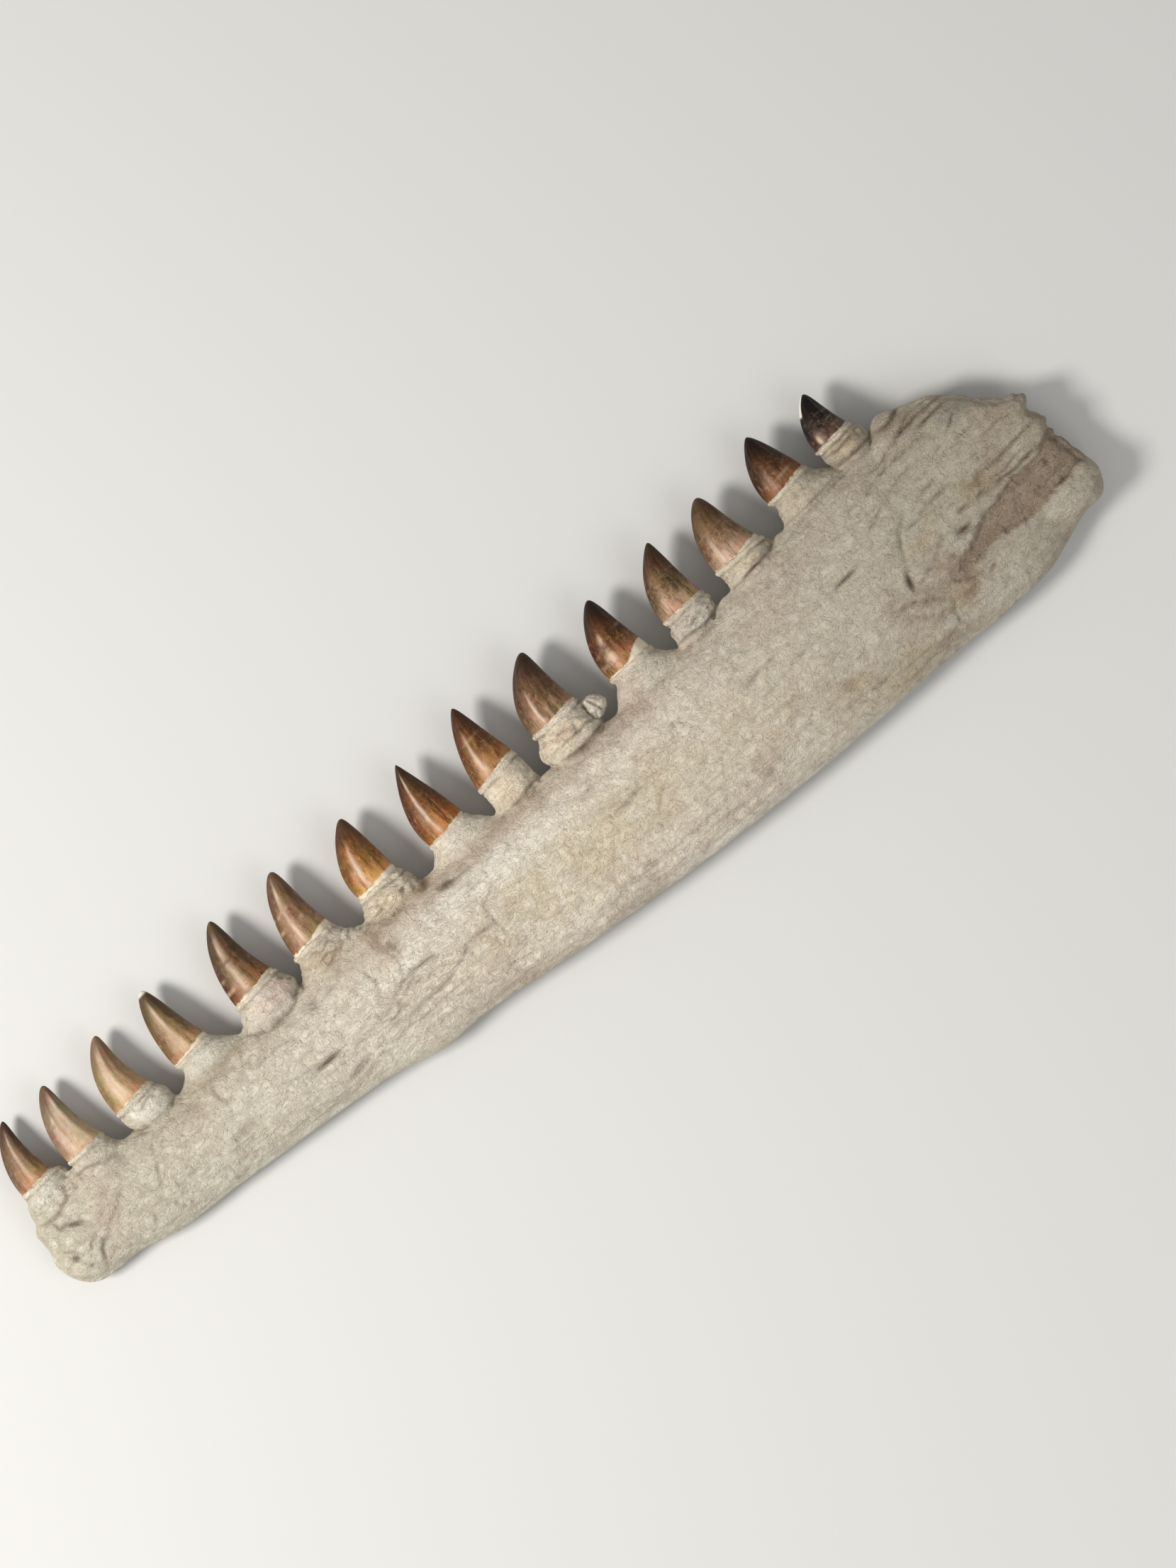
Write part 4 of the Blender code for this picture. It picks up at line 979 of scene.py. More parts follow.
def side_relief(points):
    """Height added to the edges all round: nicks, crumbs and the broken rear end."""
    x, y = points[:, 0], points[:, 1]
    lift = noises(points, EDGE_GRAIN)
    at_end = smooth_step(x, *BROKEN_FROM[0]) * smooth_step(y, *BROKEN_FROM[1])
    lift += at_end * (noises(points, BROKEN_GRAIN) - BROKEN_SUNK)
    for nick_x, nick_y, reach, depth in NICKS:
        lift -= depth * np.exp(-(((x - nick_x) ** 2 + (y - nick_y) ** 2) / reach**2))
    return lift


def add_relief(piece):
    """Push every point of the blank along its normal by the surface's relief."""
    points, normals = points_of(piece), normals_of(piece)
    up = smooth_step(normals[:, 2], *FACING_UP)
    side = 1 - smooth_step(np.abs(normals[:, 2]), *FACING_OUT)
    lift = (face_relief(points) - FACE_ROOM) * up + (side_relief(points) - SIDE_ROOM) * side
    points = points + normals * lift[:, None]
    points[:, 2] = np.maximum(points[:, 2], 0.0)
    move_points(piece, points)


def loft(name, rings, pole=None):
    """Join rings of equally many points, with a cap at the start and a cap or a point at the end."""
    sides = len(rings[0])
    points = np.concatenate(rings)
    rows = np.arange(len(points)).reshape(len(rings), sides)
    ahead = np.roll(rows, -1, axis=1)
    quads = np.stack([rows[:-1], ahead[:-1], ahead[1:], rows[1:]], axis=-1).reshape(-1, 4)
    faces = quads.tolist() + [rows[0][::-1].tolist()]
    if pole is None:
        faces.append(rows[-1].tolist())
    else:
        points = np.vstack([points, pole])
        faces += [[a, b, len(points) - 1] for a, b in zip(rows[-1].tolist(), ahead[-1].tolist())]
    return new_piece(name, points, faces)


def splenial_bed(name, grow):
    """Room that the splenial takes, grown on all sides, with a slightly wavy edge."""
    rings = []
    for x in np.arange(SPLENIAL_FRONT, SPLENIAL_REAR, BED_STEP):
        wave = float(noises([(x, 0, 0)], BED_WAVE)[0])
        low = float(through(LOWER_MARGIN, x) + through(SPLENIAL_LOW, x)) - grow
        top = float(through(SPLENIAL_TOP, x)) + grow + wave
        thick = float(through(SPLENIAL_THICK, x)) + grow
        outer = max(float(through(SPLENIAL_OUTER, x)) + grow + wave, low + BED_SLOPE)
        roof = ABOVE_ALL if x > THROUGH_FROM else thick + BED_SLOPE
        inner_side = [(low, BELOW_ALL), (top, BELOW_ALL), (top - BED_SLOPE, thick)]
        ring = [*inner_side, (outer + BED_ROOF, thick + BED_ROOF), (outer, roof), (low, roof)]
        at = x - grow if x == SPLENIAL_FRONT else x
        rings.append(np.array([(at, y, z) for y, z in ring]))
    return loft(name, rings)


def rock_bed(name, grow):
    """Room that the rock takes, grown on all sides but the roof."""
    outline = np.array(ROCK_OUTLINE, float)
    away = outline - outline.mean(axis=0)
    outline = outline + grow * away / np.abs(away).max(axis=1, keepdims=True) * ROCK_GROWTH
    rings = [np.column_stack([outline, np.full(len(outline), z)]) for z in (ROCK_FLOOR - grow, ABOVE_ALL)]
    return loft(name, [ring[::-1] for ring in rings])


def copy_of(piece, name):
    twin = bpy.data.objects.new(name, piece.data.copy())
    bpy.context.scene.collection.objects.link(twin)
    return twin


def cut(piece, operation, tool):
    """Cut a closed mesh with another one or join them, and keep the result."""
    step = piece.modifiers.new(operation.lower(), "BOOLEAN")
    step.operation = operation
    step.solver = "MANIFOLD"
    step.object = tool
    graph = bpy.context.evaluated_depsgraph_get()
    mesh = bpy.data.meshes.new_from_object(piece.evaluated_get(graph))
    piece.modifiers.clear()
    piece.data = mesh


def keep_largest(piece):
    """Delete every loose surface of a mesh but the one with most points."""
    mesh = piece.data
    ends = edges_of(piece)
    label = np.arange(len(mesh.vertices))
    while True:
        lowest = label.copy()
        np.minimum.at(lowest, ends[:, 0], label[ends[:, 1]])
        np.minimum.at(lowest, ends[:, 1], label[ends[:, 0]])
        lowest = lowest[lowest]
        if (lowest == label).all():
            break
        label = lowest
    kept = label == np.bincount(label).argmax()
    if kept.all():
        return
    index = np.cumsum(kept) - 1
    points = points_of(piece)[kept]
    faces = [[int(index[v]) for v in face.vertices] for face in mesh.polygons if kept[face.vertices[0]]]
    clean = new_piece(piece.name + "_clean", points, faces)
    piece.data = clean.data
    bpy.data.objects.remove(clean)


def set_mask(piece, name, values):
    """Keep a value from 0 to 1 for each point, which the piece's material reads."""
    attribute = piece.data.attributes.new(name, "FLOAT", "POINT")
    attribute.data.foreach_set("value", np.clip(values, 0, 1).astype(np.float32))


def side_lines(tooth):
    """Front and rear side of a root, from the neck of the crown down to its foot."""
    half = np.array([tooth.width / 2 + NECK_STEP, tooth.tilt / 2])
    middle = np.array([tooth.x, tooth.base])
    return [tuple(middle - half), *tooth.front], [tuple(middle + half), *tooth.rear]


def root_window(tooth, points):
    """1 on a tooth's root, falling to 0 beside it, and how far below the crown each point lies."""
    x, y = points[:, 0], points[:, 1]
    front, rear = (np.array(line)[::-1] for line in side_lines(tooth))
    front_x = np.interp(y, front[:, 1], front[:, 0])
    rear_x = np.interp(y, rear[:, 1], rear[:, 0])
    inside = smooth_step(x - front_x, -ROOT_SOFT, 0.0) * (1 - smooth_step(x - rear_x, 0.0, ROOT_SOFT))
    below = tooth.base + tooth.tilt * (x - tooth.x) / tooth.width - y
    foot = min(tooth.front[-1][1], tooth.rear[-1][1])
    return inside * smooth_step(y - foot, *ROOT_FOOT), below


def root_marks(points):
    """Marks on all roots: the ring under the crown, the crease below it, lumps and pits."""
    marks = {name: np.zeros(len(points)) for name in MARK_LIFT}
    grit = noises(points, ROOT_GRIT) + WORM_SHARE * (1 - np.abs(noises(points, ROOT_WORMS)))
    holes = smooth_step(noises(points, ROOT_HOLES), *HOLE_SHOWS)
    for tooth, finish in zip(TEETH, FINISHES):
        near = np.abs(points[:, 0] - tooth.x) < tooth.width * ROOT_SPREAD
        inside, below = root_window(tooth, points[near])
        wander = below + noises(points[near], RING_WANDER)
        broken = MARK_SHOWS + noises(points[near], RING_BREAKS)
        ring, crease = (np.exp(-(((wander - at) / half) ** 2)) for at, half in (RING_PLACE, CREASE_PLACE))
        values = {
            "ring": inside * ring * broken,
            "crease": inside * crease * (1 - CREASE_LOST * finish.blend) * broken,
            "lumps": inside * finish.lumps * grit[near],
            "pits": inside * finish.lumps * holes[near] * smooth_step(below, *HOLE_DEPTH),
        }
        for name, value in values.items():
            strongest = np.abs(value) > np.abs(marks[name][near])
            marks[name][near] = np.where(strongest, value, marks[name][near])
    return marks


def dark_places(x, y):
    """1 in hollows and cracks of the outer face, for their painted shade and dirt, falling to 0 beside them.
    """
    dark = np.zeros(len(x))
    for middle_x, middle_y, long, wide, _, turn, darkness in HOLLOWS:
        reach = oval(x, y, middle_x, middle_y, long, wide, turn)
        dark = np.maximum(dark, darkness * fading(reach, *HOLLOW_SHADE))
    near_x, near_y, strength = wandering(x, y)
    for width, _, darkness, line in lines_of(CRACKS, ROOT_CREASES):
        dark = np.maximum(dark, darkness * strength * line_mark(near_x, near_y, line, CRACK_SHADE * width))
    return dark


def paint_bone(piece):
    """Masks for the stains, the painted shade and dirt of the hollows and cracks, and the broken end."""
    points, normals = points_of(piece), normals_of(piece)
    x, y = points[:, 0], points[:, 1]
    up = smooth_step(normals[:, 2], *PAINTED_UP)
    masks = {name: np.zeros(len(x)) for name in PATCHES}
    for name, patches in PATCHES.items():
        for *place, strength in patches:
            share = strength * fading(oval(x, y, *place), *PATCH_FADE)
            masks[name] = np.maximum(masks[name], share * (STAIN_BELOW + (1 - STAIN_BELOW) * up))
    marks = root_marks(points)
    # Painted shade and dirt in the roots' creases and pits
    root_dark = np.maximum(CREASE_DARK * marks["crease"], PIT_DARK * marks["pits"])
    masks["dark"] = np.maximum(dark_places(x, y) * up, root_dark)
    masks["ring"] = marks["ring"]
    ends, low, high = BROKEN_BROWN
    inside_end = smooth_step(y, *low) * (1 - smooth_step(y, *high))
    masks["broken"] = smooth_step(x, *ends) * inside_end * (1 - (1 - BROKEN_ON_TOP) * up)
    masks["front"] = smooth_step(-x, *FRONT_TONE)
    masks["rear"] = smooth_step(x, *REAR_TONE_AND_SHADE)
    masks["rock"] = rock_share(x, y) * up
    masks["dim"] = dim_margins(x, y)
    masks["wrinkled"] = fading(oval(x, y, *CRINKLED), *ZONE_FADE) * up
    for name, values in masks.items():
        set_mask(piece, name, values)


def dim_margins(x, y):
    """1 in a darker band under the teeth and painted shade by the lower edge, falling to 0 beside them."""
    bands = []
    for edge, inset, half, comes, goes, strength in DIM_BANDS:
        band = np.exp(-(((y - through(edge, x) - inset) / half) ** 2))
        bands.append(strength * band * smooth_step(x, *comes) * (1 - smooth_step(x, *goes)))
    return np.maximum(*bands)


def joint_weight(points):
    """How strongly each point is blended: most where a root has no clear foot."""
    weight = np.zeros(len(points))
    far, close = BLEND_SIDES
    for tooth, finish in zip(TEETH, FINISHES):
        near = np.abs(points[:, 0] - tooth.x) < tooth.width * BLEND_SPREAD
        front, rear = tooth.front[-1], tooth.rear[-1]
        foot = min(front[1], rear[1])
        zone = smooth_step(points[near, 0], front[0] - far, front[0] - close)
        zone *= 1 - smooth_step(points[near, 0], rear[0] + close, rear[0] + far)
        zone *= smooth_step(points[near, 1] - foot, *BLEND_FOOT)
        zone *= smooth_step(tooth.base - points[near, 1], *BLEND_NECK)
        share = BLEND_LEAST + (1 - BLEND_LEAST) * finish.blend
        weight[near] = np.maximum(weight[near], zone * share)
    return weight


def smooth_joints(piece):
    """Blend the roots into the bone by pulling each point towards its neighbours."""
    points, ends = points_of(piece), edges_of(piece)
    weight = joint_weight(points)
    count = np.bincount(ends.ravel(), minlength=len(points))[:, None]
    for _ in range(BLEND_STEPS):
        pulled = np.empty_like(points)
        for axis in range(3):
            total = np.bincount(ends[:, 0], points[ends[:, 1], axis], len(points))
            pulled[:, axis] = total + np.bincount(ends[:, 1], points[ends[:, 0], axis], len(points))
        points += BLEND_PULL * weight[:, None] * (pulled / count - points)
    move_points(piece, points)


def add_root_relief(piece):
    """Lumps, rings and creases of the roots, after they are joined to the bone."""
    points, normals = points_of(piece), normals_of(piece)
    x, y = points[:, 0], points[:, 1]
    up = smooth_step(normals[:, 2], *FACING_UP)
    marks = root_marks(points)
    lift = sum(share * marks[name] for name, share in MARK_LIFT.items())
    near_x, near_y, strength = wandering(x, y)
    for width, depth, _, line in lines_of(ROOT_CREASES):
        lift -= ROOT_CREASE_SHARE * depth * strength * line_mark(near_x, near_y, line, width) * up
    lift += smooth_step(y - through(UPPER_MARGIN, x), *TOOTHED_EDGE) * noises(points, ROOT_GRAIN)
    move_points(piece, points + normals * lift[:, None])


def make_bones():
    """Dentary, splenial and rock, cut from one relief so that their faces run on."""
    blank = jaw_blank("blank")
    add_relief(blank)
    splenial_room = splenial_bed("splenial_room", SEAM)
    rock_room = rock_bed("rock_room", SEAM)
    dentary = copy_of(blank, "dentary_bone")
    cut(dentary, "DIFFERENCE", splenial_room)
    cut(dentary, "DIFFERENCE", rock_room)
    splenial = copy_of(blank, "splenial_bone")
    splenial_shape = splenial_bed("splenial_shape", 0.0)
    cut(splenial, "INTERSECT", splenial_shape)
    rock = copy_of(blank, "rock_band")
    rock_shape = rock_bed("rock_shape", 0.0)
    cut(rock, "INTERSECT", rock_shape)
    cut(rock, "DIFFERENCE", splenial_room)
    roots = [make_root(f"root_{number}", tooth) for number, tooth in enumerate(TEETH, start=1)]
    for root in roots:
        cut(dentary, "UNION", root)
    for tool in (blank, splenial_room, rock_room, splenial_shape, rock_shape, *roots):
        bpy.data.objects.remove(tool)
    for piece in (dentary, splenial, rock):
        keep_largest(piece)
    smooth_joints(dentary)
    add_root_relief(dentary)
    for piece in (dentary, splenial, rock):
        piece.data.shade_smooth()
        piece.data.set_sharp_from_angle(angle=math.radians(SHARP_ANGLE))
        paint_bone(piece)
    return dentary, splenial, rock


def crown_edges(tooth, share):
    """Front and rear edge of a crown at shares of its height."""
    mid_height = 4 * share * (1 - share)
    x = tooth.x + tooth.lean * share**2 - tooth.bow * mid_height
    centre = np.column_stack([x, tooth.base + tooth.height * share])
    fullness = (1 - share) ** tooth.blunt * (1 + tooth.swell * mid_height)
    half = fullness[:, None] * (tooth.width / 2, tooth.tilt / 2)
    return centre - half, centre + half


def tooth_ring(front, rear, middle_z, half_thick, pinch=0.0):
    """One ring through a front and a rear point, thick across the jaw, pinched to edges there."""
    turn = 2 * math.pi * np.arange(TOOTH_SIDES) / TOOTH_SIDES
    flat = (front + rear) / 2 + np.cos(turn)[:, None] * (rear - front) / 2
    rise = np.sin(turn) * np.abs(np.sin(turn)) ** pinch
    return np.column_stack([flat, middle_z + half_thick * rise])[::-1]


def tooth_height(x):
    """Height of a tooth's middle above the floor."""
    return float(through(OUTER_FACE, x)) * TOOTH_LEVEL


def make_root(name, tooth):
    """Swollen root between the bone and the crown, as a closed body that reaches into the bone."""
    middle_z = tooth_height(tooth.x)
    thick = tooth.width / 2 * CROWN_THICK
    foot_front, foot_rear = np.array(tooth.front[-1]), np.array(tooth.rear[-1])
    rings = []
    for depth, shrink, spare in ROOT_ANCHORS[::-1]:
        middle = (foot_front + foot_rear) / 2 - (0, depth)
        half = (foot_rear - foot_front) / 2 * shrink
        rings.append(tooth_ring(middle - half, middle + half, middle_z, thick + spare))
    shares = np.linspace(1, 0, ROOT_RINGS)
    sides = [on_line(line, shares) for line in side_lines(tooth)]
    spares = np.interp(shares, np.linspace(0, 1, 4), [NECK_STEP, *ROOT_SPARES])
    for front, rear, spare in zip(*sides, spares):
        rings.append(tooth_ring(front, rear, middle_z, thick + spare))
    front, rear = (line[-1] for line in sides)
    for inset in NECK_INSETS:
        half = (rear - front) / 2 * (1 - inset / thick)
        centre = (front + rear) / 2 + (0, NECK_LIFT[0] + NECK_LIFT[1] * inset)
        rings.append(tooth_ring(centre - half, centre + half, middle_z, thick + NECK_STEP - inset))
    return loft(name, rings)


def make_crown(name, tooth, finish, seed):
    """Recurved crown with weak facets, sharp front and rear edges and a worn tip."""
    share = 1 - (1 - np.arange(CROWN_RINGS) / CROWN_RINGS) ** 2
    fronts, rears = crown_edges(tooth, share)
    middle_z = tooth_height(tooth.x)
    rings = []
    for sunk, inset in CROWN_FEET:
        half = (rears[0] - fronts[0]) / 2 * (1 - inset / tooth.width)
        centre = (fronts[0] + rears[0]) / 2 - (0, sunk)
        thick = tooth.width / 2 * CROWN_THICK - inset / 2
        rings.append(tooth_ring(centre - half, centre + half, middle_z, thick, CROWN_PINCH))
    for at, front, rear in zip(share, fronts, rears):
        thick = (rear[0] - front[0]) / 2 * CROWN_THICK
        rings.append(tooth_ring(front, rear, middle_z - TIP_SINK * at**2, thick, CROWN_PINCH))
    tip = [tooth.x + tooth.lean, tooth.base + tooth.height, middle_z - TIP_SINK]
    piece = loft(name, rings, pole=tip)
    shape_crown(piece, tooth, finish, seed)
    return piece


def spots(table, tooth, across, held):
    """1 in the middle of a tooth's spots in a table, falling to 0 around them."""
    found = np.zeros(len(held))
    for number, at, height, wide, tall, strength in table:
        if TEETH[number - 1] is tooth:
            reach = ((across - at) / wide) ** 2 + ((held - height) / tall) ** 2
            found = np.maximum(found, strength * fading(reach, *SPOT_FADE))
    return found


def chipped(tooth, held, from_front):
    """1 on a tooth's pale edge: worn on the fourth tooth, a painted highlight on the fifteenth."""
    pale_edge = np.zeros(len(held))
    for number, low, high, reach in WORN_AND_HIGHLIT_EDGES:
        if TEETH[number - 1] is tooth:
            inside = smooth_step(held, low - PALE_EDGE_ENDS, low + PALE_EDGE_ENDS / 3)
            inside *= 1 - smooth_step(held, high - PALE_EDGE_ENDS, high)
            pale_edge = inside * (1 - smooth_step(from_front, reach - PALE_EDGE_SOFTNESS, reach + PALE_EDGE_SOFTNESS))
    return pale_edge


def crown_places(tooth, points):
    """Height, place from front to rear edge, both as shares, and distance from the front edge."""
    x, y = points[:, 0], points[:, 1]
    held = (y - tooth.base - tooth.tilt * (x - tooth.x) / tooth.width) / tooth.height
    fronts, rears = crown_edges(tooth, np.clip(held, 0, EDGES_END))
    across = np.clip((x - fronts[:, 0]) / (rears[:, 0] - fronts[:, 0]), 0, 1)
    return held, across, x - fronts[:, 0]


def crown_relief(points, held, across, wander, finish, seed):
    """Height of the facets and lumps of a crown, and the mask of its cracks."""
    body = smooth_step(held, *BODY_STARTS) * (1 - smooth_step(held, *BODY_ENDS))
    lift = body * FACET_DEPTH * np.cos(2 * math.pi * FACETS * (across + wander))
    lift += LUMP_DEPTH * body * noises(points, [(*ENAMEL_LUMPS, seed + 1)])
    heights = np.array(ENAMEL_CRACKS)[:, None] + noises(points, [(*CRACK_WANDER, seed + 4)])
    cracks = np.exp(-(((held - heights) / ENAMEL_CRACK_HALF) ** 2)).max(axis=0)
    cracks *= smooth_step(noises(points, [(*CRACK_BREAKS, seed + 5)]), *ENAMEL_CRACK_SHOWS) * finish.cracks
    return lift - ENAMEL_CRACK_DEPTH * cracks, cracks


def crown_light(points, held, across, wander, tooth, finish, seed):
    """Masks of a crown: painted highlight streak and light spots, dark spots, painted shade of its sides."""
    broken = STREAK_SHOWS + noises(points, [(*STREAK_BREAKS, seed + 7)])
    width = finish.width * (1 + noises(points, [(*STREAK_WIDTHS, seed + 6)]))
    band = np.exp(-(((across + STREAK_WANDER * wander - finish.streak_at) / width) ** 2))
    fade = smooth_step(held, *STREAK_STARTS)
    fade *= 1 - smooth_step(held, finish.top - STREAK_ENDS, finish.top + STREAK_ENDS)
    light = np.maximum(band * fade * finish.streak, spots(LIGHT_SPOTS, tooth, across, held))
    near, far = REAR_SIDE
    rear = smooth_step(across + wander, finish.streak_at + near, finish.streak_at + far) * finish.shade
    rear *= smooth_step(held, *REAR_SHADE_STARTS)
    near, far = FRONT_SIDE
    front = (1 - smooth_step(across + wander, near, far * finish.streak_at)) * FRONT_SHADE
    front = front * smooth_step(held, *FRONT_SHADE_STARTS)
    dark = spots(DARK_SPOTS, tooth, across, held)
    return {"streak": light * broken, "spots": dark * broken, "shade": rear + front}


def shape_crown(piece, tooth, finish, seed):
    """Facets, soft unevenness and cracks of the enamel, and the masks for its colours."""
    points, normals = points_of(piece), normals_of(piece)
    held, across, from_front = crown_places(tooth, points)
    wander = noises(points, [(*ENAMEL_WANDER, seed)])
    lift, cracks = crown_relief(points, held, across, wander, finish, seed)
    move_points(piece, points + normals * lift[:, None])
    masks = crown_light(points, held, across, wander, tooth, finish, seed)
    masks["height"] = held
    masks["cracks"] = cracks
    masks["border"] = finish.border + finish.rise * smooth_step(across, *BORDER_RISES)
    masks["chipped"] = chipped(tooth, held, from_front)
    for name, values in masks.items():
        set_mask(piece, name, values)


def make_nub(name, seed):
    """Bulb of the new tooth beside the tenth root."""
    middle_z = tooth_height(NUB_EDGE[0][0])
    shares = np.linspace(0, 1, NUB_RINGS + 1)[1:-1]
    rings = []
    for share, rear in zip(shares, on_line(NUB_EDGE, shares)):
        half_thick = NUB_THICK / 2 * math.sqrt(math.sin(math.pi * share))
        rings.append(tooth_ring(np.array([NUB_FRONT, rear[1]]), rear, middle_z, half_thick))
    piece = loft(name, rings)
    points, normals = points_of(piece), normals_of(piece)
    x, y = points[:, 0], points[:, 1]
    fold = np.zeros(len(x))
    for strength, width, line in NUB_FOLDS:
        fold = np.maximum(fold, strength * line_mark(x, y, line, width))
    amount, size = NUB_LUMPS
    lift = amount * rough(points, size, seed) - NUB_FOLD_DEPTH * fold
    move_points(piece, points + normals * lift[:, None])
    masks = {name: np.zeros(len(x)) for name in (*PATCHES, *OTHER_MASKS)}
    # Painted shade and dirt in the folds
    masks["dark"] = NUB_DARK * fold
    masks["pale"] = np.full(len(x), NUB_PALE)
    masks["brown"] = NUB_BROWN * smooth_step(-x, *NUB_SHADED)
    for mask_name, values in masks.items():
        set_mask(piece, mask_name, values)
    return piece


class Graph:
    """Nodes of one material. Their values are numbers, colours or the outputs of other nodes.

    made keeps the coordinates, textures and other values that layers and bumps call by name.
    """

    def __init__(self, name):
        self.material = bpy.data.materials.new(name)
        self.material.use_nodes = True
        self.nodes = self.material.node_tree.nodes
        self.links = self.material.node_tree.links
        self.shader = self.nodes["Principled BSDF"]
        self.made = {}

    def feed(self, node, values):
        """Give some of a node's inputs their values."""
        for key, value in values.items():
            socket = node.inputs[key]
            if isinstance(value, bpy.types.NodeSocket):
                self.links.new(value, socket)
            else:
                socket.default_value = (*value, 1.0) if socket.type == "RGBA" else value

    def calc(self, operation, *values):
        node = self.nodes.new("ShaderNodeMath")
        node.operation = operation
        self.feed(node, dict(enumerate(values)))
        return node.outputs[0]

    def mix(self, share, below, above, blend="MIX"):
        node = self.nodes.new("ShaderNodeMix")
        node.data_type = "RGBA"
        node.blend_type = blend
        self.feed(node, {0: share, 6: below, 7: above})
        return node.outputs[2]

    def ramp(self, value, low, high):
        """Map a value softly from low..high to 0..1."""
        node = self.nodes.new("ShaderNodeMapRange")
        node.interpolation_type = "SMOOTHSTEP"
        self.feed(node, {"Value": value, "From Min": low, "From Max": high})
        return node.outputs["Result"]

    def mask(self, name):
        node = self.nodes.new("ShaderNodeAttribute")
        node.attribute_name = name
        return node.outputs["Fac"]

    def place(self, name):
        """The piece's own coordinates, stretched along each axis and turned."""
        if name not in self.made:
            scale, turn = PLACES[name]
            node = self.nodes.new("ShaderNodeMapping")
            vector = self.nodes.new("ShaderNodeTexCoord").outputs["Object"]
            self.feed(node, {"Vector": vector, "Scale": scale, "Rotation": (0, 0, math.radians(turn))})
            self.made[name] = node.outputs["Vector"]
        return self.made[name]

    def texture(self, name):
        """A texture from the table, or another value that was kept under this name."""
        if name not in self.made:
            place, scale, detail, roughness, distortion = TEXTURES[name]
            node = self.nodes.new("ShaderNodeTexNoise")
            values = {"Scale": scale, "Detail": detail, "Roughness": roughness, "Distortion": distortion}
            self.feed(node, {"Vector": self.place(place), **values})
            self.made[name] = node.outputs["Fac"]
        return self.made[name]

    def centred(self, name):
        return self.calc("SUBTRACT", self.texture(name), 0.5)

    def beside(self, name, width):
        """0 on thin wandering lines where a texture crosses its middle value, 1 beside them."""
        return self.ramp(self.calc("ABSOLUTE", self.centred(name)), 0.0, width)

    def source(self, source):
        """One of a layer's sources, in the form that the table of layers explains."""
        if isinstance(source, str):
            return self.mask(source)
        name, *limits = source
        if len(limits) == 1:
            return self.calc("SUBTRACT", 1.0, self.beside(name, *limits))
        return self.ramp(self.texture(name), *limits)

    def lay(self, colour, layers):
        """Lay the colours of some layers over a first one."""
        for share, sources, tint, *blend in layers:
            for source in sources:
                share = self.calc("MULTIPLY", self.source(source), share)
            colour = self.mix(share, colour, tint, *blend)
        return colour

    def finish(self, colour, rough_texture, rough_scale, rough_least, specular, bumps):
        """Lead the colour, the roughness and the bumps into the shader."""
        normal = {}
        for name, strength, distance in bumps:
            node = self.nodes.new("ShaderNodeBump")
            values = {"Height": self.texture(name), "Strength": strength, "Distance": distance}
            self.feed(node, {**values, **normal})
            normal = {"Normal": node.outputs["Normal"]}
        roughness = self.calc("MULTIPLY", self.texture(rough_texture), rough_scale)
        roughness = self.calc("ADD", roughness, rough_least)
        values = {"Base Color": colour, "Roughness": roughness, "Specular IOR Level": specular}
        self.feed(self.shader, {**values, **normal})
        return self.material


# Colours of the bone, as linear red, green and blue
CREAM = (0.74, 0.67, 0.55)
IVORY = (0.50, 0.465, 0.365)
PINK_TAN = (0.58, 0.48, 0.39)
OCHRE = (0.64, 0.54, 0.36)
FRONT_GREY = (0.47, 0.44, 0.34)
PALE = (0.82, 0.77, 0.67)
PINK = (0.62, 0.43, 0.35)
GREENISH = (0.60, 0.59, 0.48)
BROWN = (0.27, 0.19, 0.125)
SLATE = (0.22, 0.20, 0.165)
# Painted shade and dirt in the hollows, cracks and creases of the bone
DEEP = (0.10, 0.060, 0.038)
ROCK = (0.285, 0.215, 0.155)
ROCK_PALE = (0.33, 0.26, 0.19)
ROCK_DARK = (0.12, 0.085, 0.055)
RING = (0.78, 0.68, 0.52)
FIBRE = (0.42, 0.34, 0.26)
# Colour of the painted highlight streak on the crowns, also mixed into their light tone
HIGHLIGHT_COLOUR = (0.74, 0.57, 0.43)
CRACK_PALE = (0.42, 0.29, 0.19)
GREEN_TINT = (0.80, 0.98, 0.72)
PINK_TINT = (1.0, 0.80, 0.86)
WARM_TINT = (1.0, 0.90, 0.76)

# Share of its brightness that the bone keeps at the rear end, partly painted shade, and in the darker
# bands at its edges, painted shade along the lower edge
REAR_SHADE = (0.60, 0.59, 0.56)
DIM = (0.78, 0.75, 0.72)

# Coordinates that the textures are read in: stretch along X, Y and Z, and turn in degrees
PLACES = {
    "plain": ((1, 1, 1), 0),
    "along the jaw": ((1, 14, 14), -1.5),
    "vein place": ((1, 3.5, 3.5), 3),
    "crinkle place": ((1, 1.9, 1.9), 2),
    "bed place": ((1, 3, 3), 6),
    "up the tooth": ((7, 1, 7), 0),
}

